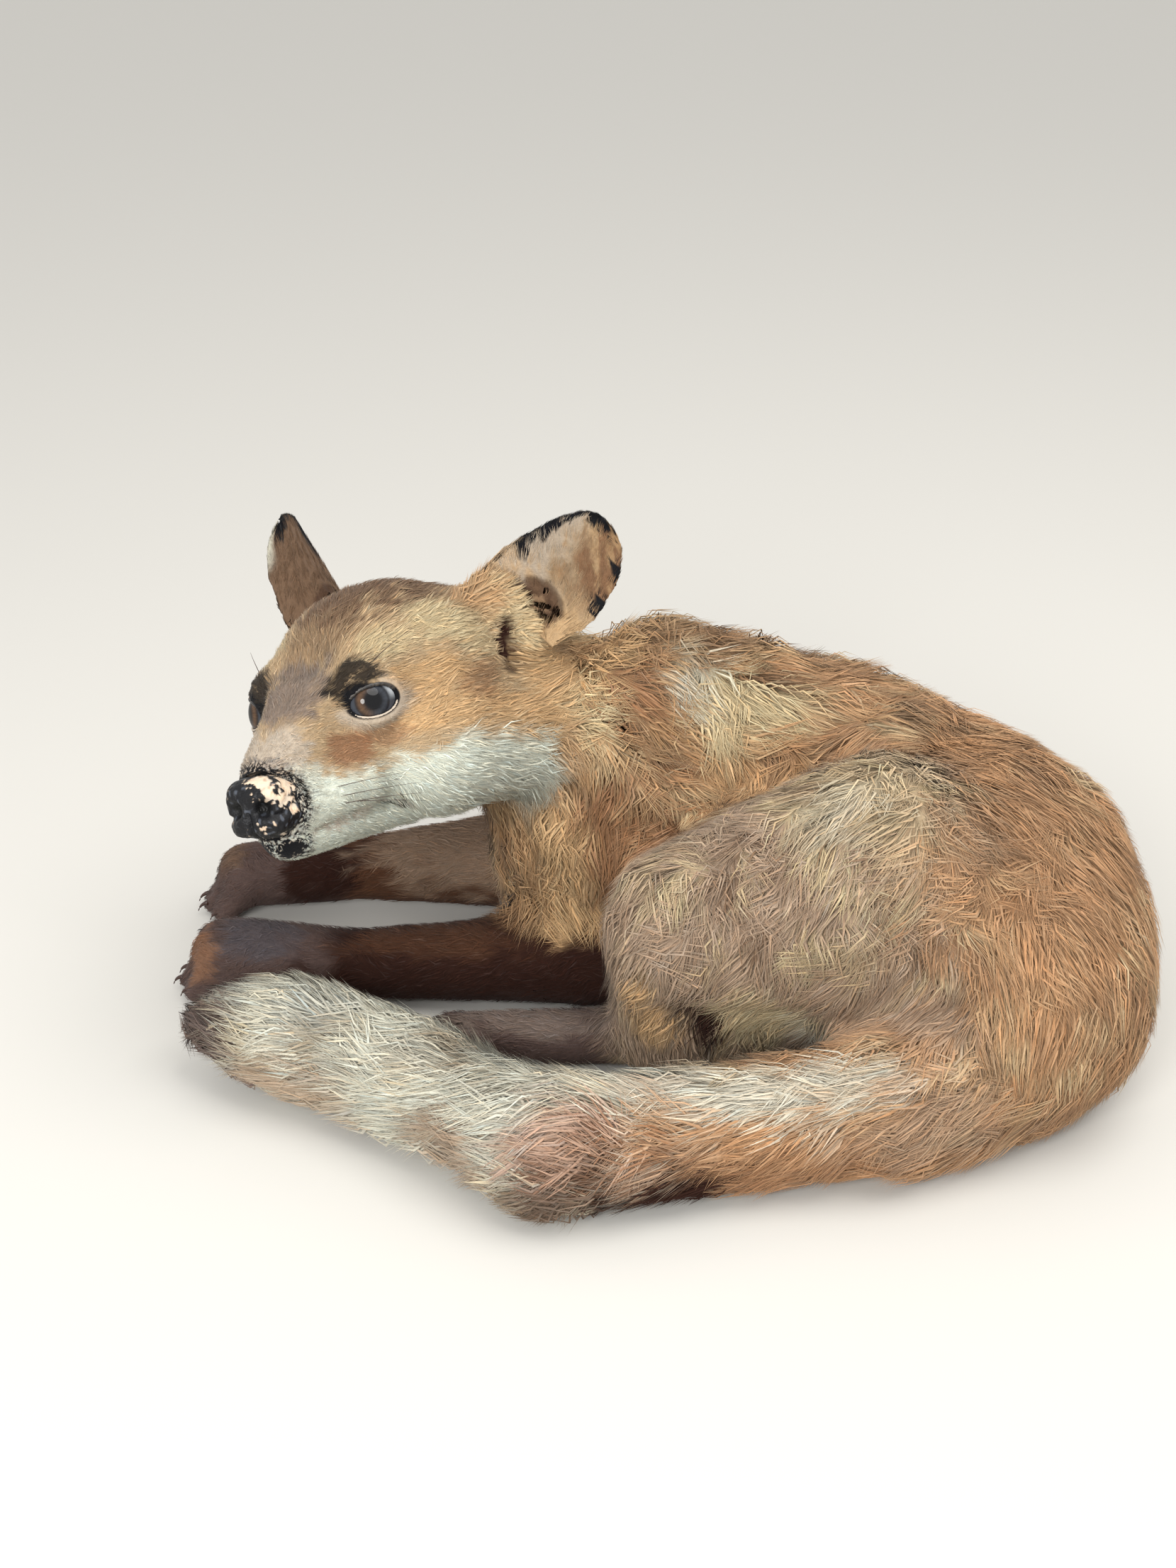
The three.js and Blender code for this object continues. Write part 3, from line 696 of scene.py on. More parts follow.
def toe_grooves(p):
    """How deep the grooves between the toes are, at places in the frame's millimetres."""
    depth = np.zeros(len(p))
    for front, heading in PAWS.values():
        from_front = p - front
        ahead = from_front @ heading
        across = from_front @ np.cross((0, 0, 1), heading)
        near = ramp(-14, 2, ahead) * (np.abs(across) < 2.5 * TOE_SPREAD) * (ahead < 3 * TOE_REACH)
        for k in (-1, 0, 1):
            line = across - k * TOE_SPREAD * mix(0.8, 1, np.clip(ahead / TOE_REACH, 0, 1))
            depth += GROOVE_DEPTH * near * np.exp(-((line / GROOVE_HALF) ** 2))
    return depth


EYE_OUT = 22.0  # mm from the head's middle plane to the middle of an eye
EYE_CENTRE = np.array([-EYE_BACK, EYE_OUT, -EYE_LOW])
EYE_AXIS = unit(np.array([0.64, 0.77, 0.06]))  # the way that an eye's opening faces
EYEBALL = 12.5  # mm, radius of the glass
EYE_SUNK = 1.9  # mm that the glass sits behind the middle of its node
OPENING = (10.6, 6.2)  # mm, half the width and half the height of the opening between the lids
OPENING_TILT = math.radians(7)
LID_THIN, LID_THICK, LID_HOLLOW = 0.4, 1.8, 5.0  # mm over the glass at the lids' edge and behind it
UNDER_GLASS = 1.2  # mm that the skin lies under the glass inside the opening


def eye_frame():
    """Middle of the left eyeball, its outward axis, its way from the inner corner to the outer, and up."""
    across = unit(np.cross((0, 0, 1), EYE_AXIS))
    rise = np.cross(EYE_AXIS, across)
    tilted = across * math.cos(OPENING_TILT) + rise * math.sin(OPENING_TILT)
    return EYE_CENTRE - EYE_AXIS * EYE_SUNK, EYE_AXIS, tilted, np.cross(EYE_AXIS, tilted)


def left_half(points):
    """Places in the head's millimetres, without its lean and all on its left, and what mirrors them back."""
    p = (points - HEAD_ORIGIN) / MM @ HEAD_AXES.T
    mirror = np.where(p[:, 1:2] < 0, -1, 1) * (0, 1, 0) + (1, 0, 1)
    return p * mirror, mirror


def set_lids(points):
    """Draws the skin round the eyes to lids that lie tight on the glass, and the rest behind it."""
    q, mirror = left_half(points)
    centre = eye_frame()[0]
    from_eye = q - centre
    reach = np.linalg.norm(from_eye, axis=1)
    d = lid_distance(q)
    lid = EYEBALL + mix(LID_THIN, LID_THICK, ramp(1.0, 1.3, d)) - LID_HOLLOW * ramp(1.4, 2.1, d)
    radius = mix(EYEBALL - UNDER_GLASS, np.maximum(reach, lid), ramp(0.97, 1.03, d))
    q = centre + from_eye * (radius / np.maximum(reach, 1))[:, None]
    return HEAD_ORIGIN + q * mirror @ HEAD_AXES * MM


def lid_distance(q):
    """Distance from the middle of the lids' opening, in parts of the opening; q is on the left half."""
    centre, axis, across, rise = eye_frame()
    from_eye = q - centre
    flat = np.hypot(from_eye @ across / OPENING[0], from_eye @ rise / OPENING[1])
    return flat + ramp(3, -3, from_eye @ axis) * 9


MOUTH = [(43, 0, -43), (38, 7.5, -44.5), (26, 12, -45), (8, 17, -44), (-10, 25, -41), (-20, 30, -38)]


def head_field(p, depth):
    """Distance to the head's skin, with p in the head's millimetres and the coat's depth at each place."""
    q = folded(p)
    brow = ball(p, (-50, 0, 7), (50, 43, 41))
    nape = ball(p, (-86, 0, -2), (36, 48, 42))
    cheek = ball(q, (-42, 28, -26), (38, 26, 29))
    ruff = ball(q, (-74, 36, -29), (30, 21, 24))
    ear_root = rod(q, (-77, 33, 34), 13, (-83, 43, 14), 11)
    ridge = ball(q, (-8, 17, 10), (14, 13, 9))
    muzzle = rod(p, (-6, 0, -14), 25, (37, 1, -31), 14.5)
    lip = rod(q, (2, 12, -30), 15, (32, 6, -37), 9.5)
    form = joined(12, brow, nape, cheek, ruff, ear_root, ridge, muzzle, lip) + depth
    jaw = joined(8, rod(p, (-34, 0, -44), 13, (35, 1, -47), 9), rod(q, (-34, 14, -44), 11, (28, 3, -46), 8))
    form = joined(5, form, jaw + depth)
    bridge = rod(q, (10, 5, 3), 5, (36, 3, -18), 4)  # the flat top of the muzzle has two soft edges
    form = joined(14, form, bridge)
    form = dented(form, path_distance(q, [(8, 16, -15), (24, 16, -25)]), 9, 2.2)  # hollow before the eye
    form = dented(form, path_distance(q, [(2, 0, 14), (-30, 0, 46)]), 8, 1.6)  # furrow between the brows
    lids = ball(q, eye_frame()[0], np.full(3, EYEBALL + 1.2))
    form = joined(5, form, lids)
    return dented(form, path_distance(q, MOUTH), 1.8, 1.6)


FIELD_ROUNDS = 5


def to_field(points, depth):
    """Moves head skin onto the head's field."""
    p = in_head(points)
    step = 0.2
    for _ in range(FIELD_ROUNDS):
        here = head_field(p, depth)
        slope = [head_field(p + step * axis, depth) - here for axis in np.eye(3)]
        slope = np.stack(slope, 1) / step
        p = p - np.clip(here, -2, 2)[:, None] * slope / np.maximum((slope**2).sum(1), 0.3)[:, None]
    return on_head(p)


class Skin:
    """The fox's skin with all that is spread over it: the coat's lie, depth and tufts, and the colours."""

    def __init__(self, settings):
        net = refine_face(flesh_shell(settings.cell))
        self.surface = Surface(net)
        bpy.data.meshes.remove(net)
        self.node = nearest_nodes(self.surface.points)
        self.even_out()
        self.plan_coat()
        self.sink()
        self.add_ears()
        self.comb()
        self.choose_colours()

    def is_node(self, *starts):
        chosen = [name.startswith(starts) for name in NODE_FUR]
        return np.array(chosen)[self.node].astype(float)

    def even_out(self):
        """Softens the facets, most on the body and least on the face and feet."""
        s = self.surface
        firm = s.spread(s.points, FIRM_ROUNDS)
        soft = s.spread(firm, SOFT_ROUNDS)
        hold = s.spread(self.is_node(*FIRM), 12)[:, None]
        s.points = mix(soft, firm, np.clip(hold, 0, 1))
        s.points = s.points - s.normals() * toe_grooves(s.points / MM)[:, None] * MM

    def plan_coat(self):
        """Spreads the nodes' coats over the skin, and presses them thin where they carry the weight."""
        s = self.surface
        table = np.array([[*fur.lie, fur.depth, fur.length, fur.width] for fur in NODE_FUR.values()])
        plan = s.spread(table[self.node], 16)
        self.lie, self.depth, self.length, self.width = plan[:, :3], plan[:, 3], plan[:, 4], plan[:, 5]
        self.head = np.clip(s.spread(self.is_node("head", "lower_jaw"), 6), 0, 1)
        self.place = in_head(s.points)
        self.plan_face()
        low = ramp(*PRESSED_FADES, s.points[:, 2])
        self.depth = mix(self.depth, np.minimum(self.depth, PRESSED), low)

    def plan_face(self):
        """The coat is short at the nose and round the eyes, and long on the cheeks' ruff."""
        near = folded(self.place)
        back = ramp(38, -75, near[:, 0])
        ruff = ramp(1.5, 0.7, within(near, *RUFF))
        face = {
            "depth": mix(0.9, 4.6, back) + 3.0 * ruff,
            "length": mix(3.0, 13.0, back) + 7.0 * ruff,
            "width": mix(0.55, 1.15, back),
        }
        short = ramp(16, 7, path_distance(near, SLIT_LINE))
        face["length"] = mix(face["length"], 4.5, short)
        eye = ramp(26, 12, to_opening(near))
        face["length"] = mix(face["length"], 3.5, eye)
        face["depth"] = mix(face["depth"], 0.9, eye)
        for name, values in face.items():
            setattr(self, name, mix(getattr(self, name), values, self.head))
        outward = HEAD_AXES[1] * np.sign(self.place[:, 1:2])
        sweep = outward * 0.25 - HEAD_AXES[2] * ramp(10, -40, near[:, 2:]) * 0.35
        self.lie = self.lie + sweep * self.head[:, None]

    def sink(self):
        """Takes the skin in by the coat's depth, with relief on the body and the head's own form."""
        s = self.surface
        shaggy = s.spread(self.is_node(*SHAGGY) + 0.4 * self.is_node("rump", "thigh", "tail"), 12)
        self.relief = s.mottle(*RELIEF_PATTERN) * shaggy * (1 - self.head)
        body = s.points - s.normals() * ((self.depth + SWELL - RELIEF * self.relief) * MM)[:, None]
        on_face = to_field(s.points, self.depth)
        hold = self.head * ramp(*FORM_FADES, self.place[:, 0])
        s.points = mix(body, on_face, hold[:, None])
        middle = hold * ramp(*MIDDLE_FADES, np.abs(self.place[:, 1]))
        s.points = set_lids(mix(s.points, s.spread(s.points, 4), middle[:, None]))
        s.points[:, 2] = np.maximum(s.points[:, 2], LOWEST)

    def add_ears(self):
        """Joins the ears to the skin, with their own coat."""
        self.ear_start = len(self.surface.points)
        ears = {f"ear_{side}": ear_shell(side) for side in SIDES}
        shells = [(self.surface.points, self.surface.triangles), *(shell[:2] for shell in ears.values())]
        joined_mesh = mesh_of("joined", *together(shells))
        self.surface = Surface(joined_mesh)
        bpy.data.meshes.remove(joined_mesh)
        self.ear_grid = np.concatenate([grid for _, _, grid in ears.values()])
        names = [name for name, shell in ears.items() for _ in shell[0]]
        more = {"node": [list(NODE_FUR).index(name) for name in names]}
        for field in ("lie", "depth", "length", "width"):
            more[field] = [getattr(NODE_FUR[name], field) for name in names]
        for field in ("head", "relief"):
            more[field] = np.zeros(len(names))
        for field, values in more.items():
            setattr(self, field, np.concatenate([getattr(self, field), values]))

    def comb(self):
        """Lays the coat's directions along the skin, with swirls."""
        s = self.surface
        self.place = in_head(s.points)
        self.normals = unit(s.spread(s.normals(), 2))
        self.lie = s.spread(flat_on(self.lie, self.normals), 8)
        self.lie = flat_on(self.lie, self.normals)
        self.curly = ramp(1.4, 0.6, within(s.points / MM, *CURLY))
        swirl = np.stack([s.mottle(*pattern) for pattern in SWIRL_PATTERNS], 1)
        loose = mix(0.3, 0.55, s.spread(self.is_node(*SHAGGY), 8))
        self.swirl = swirl * mix(mix(loose, 0.14, self.head), 0.9, self.curly)[:, None]
        self.tree = BVHTree.FromPolygons(s.points.tolist(), s.triangles.tolist())

    def above(self, places, height):
        """Points at a height over the skin nearest to each place."""
        found = [self.tree.find_nearest(Vector(place)) for place in places]
        on_skin = np.array([hit[0] for hit in found])
        facing = self.normals[self.surface.triangles[[hit[2] for hit in found]]].mean(1)
        return on_skin + unit(facing) * height[:, None]

    def share_of(self, name):
        """How densely a piece of coat grows at each vertex."""
        chosen = self.is_node(*COAT_PIECES[name].nodes)
        if name == "coat_face":
            chosen = chosen * (self.place[:, 0] > FACE_ENDS)
        if name == "coat_head":
            chosen = chosen * (self.place[:, 0] <= FACE_ENDS)
        under = ramp(-0.5, -0.8, self.normals[:, 2]) * ramp(0.012, 0.006, self.surface.points[:, 2])
        return chosen * (1 - under) * (1 - self.bare)

    def choose_colours(self):
        """The markings, which the skin and the coat share."""
        s = self.surface
        table = np.array([colour(fur.colour) for fur in NODE_FUR.values()])
        self.colour = s.spread(table[self.node], 14)
        self.fine = s.mottle(*FINE)
        self.ragged = 0.16 * s.mottle(*RAGGED_FINE) + 0.10 * s.mottle(*RAGGED_COARSE)
        head = folded(self.place)
        body = (1 - self.head) * (1 - self.is_node("ear"))
        # Painted light and shade: paler on the ridges of the coat's relief and darker in its hollows.
        self.tone("straw", ramp(0.4, 1.8, self.relief) * 0.35)
        self.tone("umber", ramp(-0.2, -1.6, self.relief) * 0.7)
        mottled = body * (1 - np.clip(s.spread(self.is_node("fore", "hind_foot"), 6), 0, 1))
        for name, patterns in STRAYS.items():
            wide, tight = (s.mottle(*pattern) for pattern in patterns)
            share = ramp(0.2, 2.2, wide + 0.5 * tight) * 0.45
            share = share + ramp(0.5, 1.6, tight) * mix(0.2, 0.8, self.curly)
            self.tone(name, np.clip(share, 0, 0.9) * mottled)
        for mark in BODY_MARKS:
            self.blot(s.points / MM, body, *mark)
        for mark in HEAD_MARKS:
            self.blot(head, self.head, *mark)
        forward, _, up = head.T
        line = np.interp(forward, *zip(*WHITE_LINE))
        white = ramp(4, -4, up + 10 * self.ragged - line)
        white = white * self.head * ramp(-86, -70, forward)
        self.tone("white", white * 0.95)
        self.paint_face(head)
        self.colour[: self.ear_start] *= COAT_TONE
        self.paint_ears()

    def paint_face(self, head):
        """Painted brows and lids, the slits before the ears, the mouth, and the paint behind the nose."""
        finest = self.surface.mottle(*FINEST)
        brow = path_distance(head, BROW_LINE) + 5 * self.ragged
        slit = path_distance(head, SLIT_LINE) + 2 * self.ragged
        mouth = path_distance(head, MOUTH) + 1.2 * self.fine
        at_eye = left_half(self.surface.points)[0]
        from_eye = lid_distance(at_eye)
        centre, _, across, rise = eye_frame()
        out, high = (at_eye - centre) @ across, (at_eye - centre) @ rise
        lid = ramp(1.6, 1.3, from_eye + 0.08 * self.fine) * ramp(0, 2, high) * ramp(3, -3, out)
        chin = within(head, *CHIN_PAINT) + 0.3 * ramp(-0.3, 0.3, finest)
        spilt = np.minimum(within(head, NOSE_PLACE, NOSE_RADII) / 1.36, chin)
        for name, share in (
            ("black", ramp(BROW_WIDTH + 1.8, BROW_WIDTH - 1.2, brow) * 0.93),
            ("sand", ramp(1.9, 1.3, from_eye) * ramp(2, -2, high) * 0.85),
            ("sand", ramp(1.7, 1.2, from_eye) * ramp(2, 6, out) * 0.6),
            ("black", np.maximum(lid, ramp(1.16, 1.06, from_eye))),
            # Painted shade inside the slit before each ear.
            ("dark", ramp(4.2, 2.6, slit)),
            ("rose", ramp(3.4, 1.2, mouth) * 0.55),
            ("slate", ramp(1.25, 0.95, spilt + 0.12 * self.fine) * 0.6),
            ("peach", ramp(1.15, 0.9, spilt + 0.12 * finest) * 0.6),
            ("black", ramp(1.02, 0.92, spilt + 0.13 * finest + 0.05 * self.fine)),
        ):
            self.tone(name, share * self.head)
        bare = [ramp(1.02, 0.9, spilt), ramp(1.35, 1.2, from_eye), ramp(3.5, 2, slit)]
        self.bare = self.head * np.maximum.reduce(bare)

    def paint_ears(self):
        """Thin coat, pale towards the crown and rusty towards the cheek, with a black rim."""
        across, along, front = self.ear_grid.T
        ears = slice(self.ear_start, None)
        ragged, fine = self.ragged[ears], self.fine[ears]

        def tone(name, share):
            self.colour[ears] = mix(self.colour[ears], colour(name), np.clip(share, 0, 1)[:, None])

        near = self.node[ears] == list(NODE_FUR).index("ear_left")
        tone("sand", ramp(-0.2, 0.7, across + ragged) * front * near * 0.85)
        tone("rust", ramp(0.3, -0.5, across + ragged) * ramp(0.1, 0.5, along) * front * near * 0.85)
        tone("orange", ramp(0.7, 0.95, along + ragged) * ramp(0.5, 0, across) * front * near * 0.6)
        tone("orange", ramp(0.35, 0, along + 0.5 * ragged) * near * 0.6)
        tone("cream", ramp(-0.5, -0.9, across) * ramp(0.7, 0.9, along) * ~near * 0.8)
        hollow = np.hypot((across - HOLLOW[0]) / 0.52, (along - HOLLOW[1]) / 0.24)
        # Painted shade on the near ear, against the key lamp that it faces: darkest on the side over the
        # cheek, less towards the base. The far ear is only a little darker all over.
        wear_and_shade = mix(mix(0.5, 0.68, ramp(-0.3, 0.7, across)), COAT_TONE, ramp(0.4, 0.05, along))
        self.colour[ears] *= np.where(near, wear_and_shade, 0.9)[:, None]
        # Painted shade in the ear's hollow, round its rim and in its folds.
        tone("umber", ramp(1.1, 0.8, hollow + 0.4 * ragged) * front * 0.8)
        tone("dark", ramp(1.1, 0.8, np.abs(hollow - 0.75) * 3 + 0.5 * ragged) * front * 0.6)
        tone("dark", ramp(0.9, 0.5, hollow) * front * (fine > 0.3) * 0.3)
        crown_edge = np.maximum(across + 0.08 * near, ramp(0.6, 0.98, along) * (across > -0.6))
        cheek_edge = -across * near * (np.sin(along * 19 + 1) > 0.1)
        rim = np.maximum(crown_edge, cheek_edge)
        tone("black", ramp(0.76, 0.84, rim + 0.25 * ragged + 0.02 * fine) * ramp(0.12, 0.3, along))
        self.bare[ears] = 0.1 + 0.8 * ramp(1.1, 0.8, hollow) * front
        self.length[ears] *= 1 + ramp(0, 0.8, across) * front + 1.6 * ramp(0.4, 0, along)

    def blot(self, places, region, centre, radii, name, strength):
        """Tones a ball with a ragged edge, inside a region."""
        reach = within(places, centre, radii) + self.ragged
        self.tone(name, ramp(1.3, 0.7, reach) * strength * region)

    def tone(self, name, share):
        """Turns the coat towards a colour, by a share for each vertex."""
        self.colour = mix(self.colour, colour(name), share[:, None])


# ---------------------------------------------------------------- ears

# Base, tip and the way that the hollow faces, in the head's millimetres straight forward, left and up.
EAR_PLACES = {
    "left": ((-78, 62, 30), (-95, 93, 59), (0.91, 0.32, 0.17)),
    "right": ((-62, -34, 37), (-75, -54, 78), (0.78, -0.55, 0.17)),
}
EAR_CHEEK, EAR_CROWN = 26.5, 22.5  # mm from an ear's middle to its edges over the cheek and over the crown
EAR_BLUNT = {"left": 3.4, "right": 7.0}  # how late an ear narrows to its tip
EAR_WALL = 1.5  # mm, between an ear's two faces
EAR_CUP = 11.0  # mm that the edges stand forward of the middle at the base
EAR_BELOW = 0.18  # part of its length that an ear goes on, down into the head
EAR_ROWS, EAR_COLUMNS = 64, 44
HOLLOW_DEPTH = 5.0  # mm
HOLLOW = (-0.06, 0.0)  # middle of the hollow, across and along the ear


def ear_shell(side):
    """Vertices, triangles and (across, along, front) of an ear: a worn, cupped leaf with a folded hollow."""
    base, tip, facing = np.array(EAR_PLACES[side])
    rise = tip - base
    facing = unit(facing - rise * (np.dot(facing, rise) / np.dot(rise, rise)))
    outward = unit(np.cross(rise, facing)) * -SIDES[side]
    v, u = np.linspace(-EAR_BELOW, 1, EAR_ROWS), np.linspace(-1, 1, EAR_COLUMNS)
    v, u = np.meshgrid(v, u, indexing="ij")
    wear_and_shade = np.random.default_rng(5 + SIDES[side]).standard_normal((EAR_ROWS, 2))
    wear_and_shade = np.stack([np.convolve(wear_and_shade[:, k], np.ones(5) / 5, "same") for k in range(2)], 1)
    half = np.where(u < 0, EAR_CHEEK, EAR_CROWN)
    half = half * np.sqrt(np.maximum(1 - np.maximum(v, 0) ** EAR_BLUNT[side], 0.012))
    half = half * (1 - np.where(u > 0, 0.25 * ramp(0, 0.8, v), 0.2 * ramp(0.3, -EAR_BELOW, v)))
    half = half * (1 + 0.05 * np.where(u < 0, wear_and_shade[:, :1], wear_and_shade[:, 1:]) * np.abs(u) ** 3)
    hollow = np.exp(-(((u - HOLLOW[0]) / 0.5) ** 2) - ((v - HOLLOW[1]) / 0.19) ** 2)
    folds = np.sin(u * 9 + 3 * np.sin(v * 14)) * np.sin(v * 31 + 2.5 * np.sin(u * 6))
    crinkle = np.sin(u * 13 + 5 * v) * np.sin(v * 24 - 4 * u)
    cup = EAR_CUP * (1 - u * u) * mix(1, 0.2, ramp(-0.2, 1, v))
    sheets = []
    for front in (1, 0):
        depth = (front - 0.5) * EAR_WALL * np.sqrt(np.maximum(1 - u**6, 0.05)) - cup
        depth = depth - hollow * HOLLOW_DEPTH * (1 if front else 0.7)
        depth = depth + front * (hollow * folds * 1.6 + 0.35 * crinkle * (1 - np.abs(u)))
        place = base + v[..., None] * rise + (half * u)[..., None] * outward + depth[..., None] * facing
        sheets.append(place.reshape(-1, 3))
    count = EAR_ROWS * EAR_COLUMNS
    front_faces = grid_faces(EAR_ROWS, EAR_COLUMNS)
    back_faces = front_faces[:, ::-1] + count
    index = np.arange(count).reshape(EAR_ROWS, EAR_COLUMNS)
    rim = np.concatenate([index[0], index[1:, -1], index[-1, -2::-1], index[-2:0:-1, 0]])
    after = np.roll(rim, -1)
    edge_faces = np.stack([after, rim, rim + count, after + count], 1)
    triangles = halves(np.concatenate([front_faces, back_faces, edge_faces]))
    points = HEAD_ORIGIN + np.concatenate(sheets) @ HEAD_AXES * MM
    grid = np.stack([np.tile(u.ravel(), 2), np.tile(v.ravel(), 2), np.repeat([1.0, 0.0], count)], 1)
    return points, turned_out(points, triangles), grid


# ---------------------------------------------------------------- coat

COAT = namedtuple("COAT", "nodes straight bent lock")

# For each piece of coat: its nodes, its numbers of straight and bent tufts, and how many tufts make a lock.
COAT_PIECES = {
    "coat_face": COAT(("head", "lower_jaw"), 42000, 2500, 14),
    "coat_head": COAT(("head", "lower_jaw"), 33000, 5500, 16),
    "coat_ears": COAT(("ear",), 20000, 0, 14),
    "coat_neck": COAT(("neck", "chest", "upper_arm"), 30000, 7000, 40),
    "coat_back": COAT(("mid_back", "rump"), 30000, 7000, 40),
    "coat_thigh": COAT(("thigh", "shank"), 30000, 7000, 32),
    "coat_legs": COAT(("forearm", "forepaw", "hind_foot"), 34000, 3000, 14),
    "coat_tail": COAT(("tail",), 28000, 8000, 26),
}
FACE_ENDS = -38.0  # mm forward of the eyes, between the coat's face and head pieces
STRAIGHT_WIDTH = 0.72  # of a bent tuft's width
SOFTNESS = 0.6  # how far the tufts are shaded as the skin under them
ROOT_DEPTH = 0.0004  # that a tuft starts under the skin
STRAY = 0.2  # how far a tuft's way strays from the coat's
LENGTHS, HEIGHTS, WIDTHS = (0.65, 1.2), (0.55, 1.05), (0.5, 1.05)  # of what the skin holds
GUARD_SHARE, GUARD_LENGTH, GUARD_HEIGHT, GUARD_WIDTH = 0.1, 1.25, 1.35, 0.6  # long, high and thin tufts
STEEPEST = 0.8  # of a tuft's length that its tip may rise
BEND_AT, BEND_HEIGHT = 0.45, 0.62  # of a tuft's reach and height
PULL, SPLAY = 0.45, 0.35  # how far tips are drawn to their lock's, and how far apart they stay


class Roots:
    """Where tufts grow, with what the skin holds there."""

    def __init__(self, skin, weight, count, rng):
        s = skin.surface
        a, b, c = s.corners()
        area = np.linalg.norm(np.cross(b - a, c - a), axis=1) * weight[s.triangles].mean(1)
        total = np.cumsum(area)
        drawn = (np.arange(count) + rng.random(count)) / count * total[-1]
        self.triangle = np.minimum(np.searchsorted(total, drawn), len(area) - 1)
        u, v = rng.random((2, count))
        over = u + v > 1
        u, v = np.where(over, 1 - u, u), np.where(over, 1 - v, v)
        self.share = np.stack([1 - u - v, u, v], 1)
        self.corner = s.triangles[self.triangle]
        self.count = count

    def take(self, values):
        share = self.share if values.ndim == 1 else self.share[:, :, None]
        return (values[self.corner] * share).sum(1)


TUFT = namedtuple("TUFT", "root bend tip width normal")


def grow(skin, roots, lock, rng):
    """Where each tuft starts, bends and ends, on its way along the coat."""
    count = roots.count
    root = roots.take(skin.surface.points)
    normal = unit(roots.take(skin.normals))
    lie = roots.take(skin.lie) + roots.take(skin.swirl)
    lie = flat_on(lie + STRAY * rng.standard_normal((count, 3)), normal)
    length = roots.take(skin.length) * rng.uniform(*LENGTHS, count) * MM
    height = roots.take(skin.depth) * rng.uniform(*HEIGHTS, count) * MM
    width = roots.take(skin.width) * rng.uniform(*WIDTHS, count) * MM
    guard = rng.random(count) < GUARD_SHARE
    length = length * np.where(guard, GUARD_LENGTH, 1)
    height = height * np.where(guard, GUARD_HEIGHT, 1)
    width = width * np.where(guard, GUARD_WIDTH, 1)
    lift = np.minimum(height / length, STEEPEST)[:, None]
    reach = lie * np.sqrt(1 - lift**2) * length[:, None]
    bend = skin.above(root + reach * BEND_AT, height * BEND_HEIGHT)
    tip = gathered(root, skin.above(root + reach, height), lock, rng)
    return TUFT(root - normal * ROOT_DEPTH, bend, tip, width, normal)


def gathered(root, tip, lock, rng):
    """Tips drawn together into locks of about the given number of tufts."""
    count = len(root)
    leaders = rng.choice(count, max(count // lock, 1), replace=False)
    tree = KDTree(len(leaders))
    for index, leader in enumerate(leaders):
        tree.insert(root[leader], index)
    tree.balance()
    lead = leaders[[tree.find(place)[1] for place in root]]
    target = tip[lead] + SPLAY * (root - root[lead])
    return mix(tip, target, PULL)


RING = 3  # vertices round a tuft
RING_SHAPE = ((1, 0), (-1, 0), (0, 0.7))  # across and up, of half the tuft's width
COAT_LOWEST = 0.0003  # height of the coat over the floor


def tuft_arrays(tuft, bent):
    """Vertices and triangles of closed tufts: a ring of three at the root, one at the bend, and the tip."""
    count = len(tuft.root)
    rings = 2 if bent else 1
    last = (rings - 1) * RING
    size = rings * RING + 1
    across = unit(np.cross(tuft.tip - tuft.root, tuft.normal))
    rise = unit(np.cross(across, tuft.tip - tuft.root))
    half = (tuft.width / 2)[:, None]
    points = np.empty((count, size, 3))
    for ring, centre in enumerate((tuft.root, tuft.bend)[:rings]):
        for corner, (out, up) in enumerate(RING_SHAPE):
            points[:, ring * RING + corner] = centre + (across * out + rise * up) * half
    points[:, -1] = tuft.tip
    points[:, :, 2] = np.maximum(points[:, :, 2], COAT_LOWEST)
    one = [(2, 1, 0)]
    for k, following in ((0, 1), (1, 2), (2, 0)):
        if bent:
            one += [(k, following, RING + following), (k, RING + following, RING + k)]
        one.append((last + k, last + following, size - 1))
    faces = np.array(one)[None] + np.arange(count)[:, None, None] * size
    return points.reshape(-1, 3), faces.reshape(-1, 3)


PATCH = 0.003  # side of a tuft's place on the map that its finish is baked through
RING_PATCH = ((0, 0), (1, 0), (0.5, 0.15))


def tuft_uv(skin, roots, bent):
    """The place of each tuft's vertices on the skin's map."""
    centre = (skin.uv[roots.triangle] * roots.share[:, :, None]).sum(1)
    shape = [*RING_PATCH, *((x, y + 0.45) for x, y in RING_PATCH if bent), (0.5, 1)]
    return (centre[:, None] + (np.array(shape) - 0.5)[None] * PATCH).reshape(-1, 2)


# A tuft is darker at its root: partly the hair's own darker base, partly painted shade of the coat over it.
ROOT_TONE, BEND_TONE, TIP_TONE = 0.88, 1.0, 1.1
TONE_SPREAD, WARMTH_SPREAD = 0.06, 0.04
DARK_SHARE, DARK_TONE, PALE_SHARE, PALE_TONE = 0.1, 0.78, 0.12, 1.1


def tuft_colours(skin, roots, bent, rng):
    """Dark at the root and light at the tip, each tuft a little unlike its neighbours."""
    base = roots.take(skin.colour)
    count = roots.count
    value = np.exp(TONE_SPREAD * rng.standard_normal((count, 1)))
    warm = 1 + WARMTH_SPREAD * rng.standard_normal((count, 1)) * np.array([1, 0, -1])
    dark = rng.random((count, 1)) < DARK_SHARE
    pale = rng.random((count, 1)) < PALE_SHARE
    own = base * value * warm * np.where(dark, DARK_TONE, 1)
    own = mix(own, own * PALE_TONE + 0.01, pale)
    along = [ROOT_TONE] * RING + [BEND_TONE] * RING * bent + [TIP_TONE]
    return np.clip(own[:, None] * np.array(along)[None, :, None], 0.004, 0.95).reshape(-1, 3)


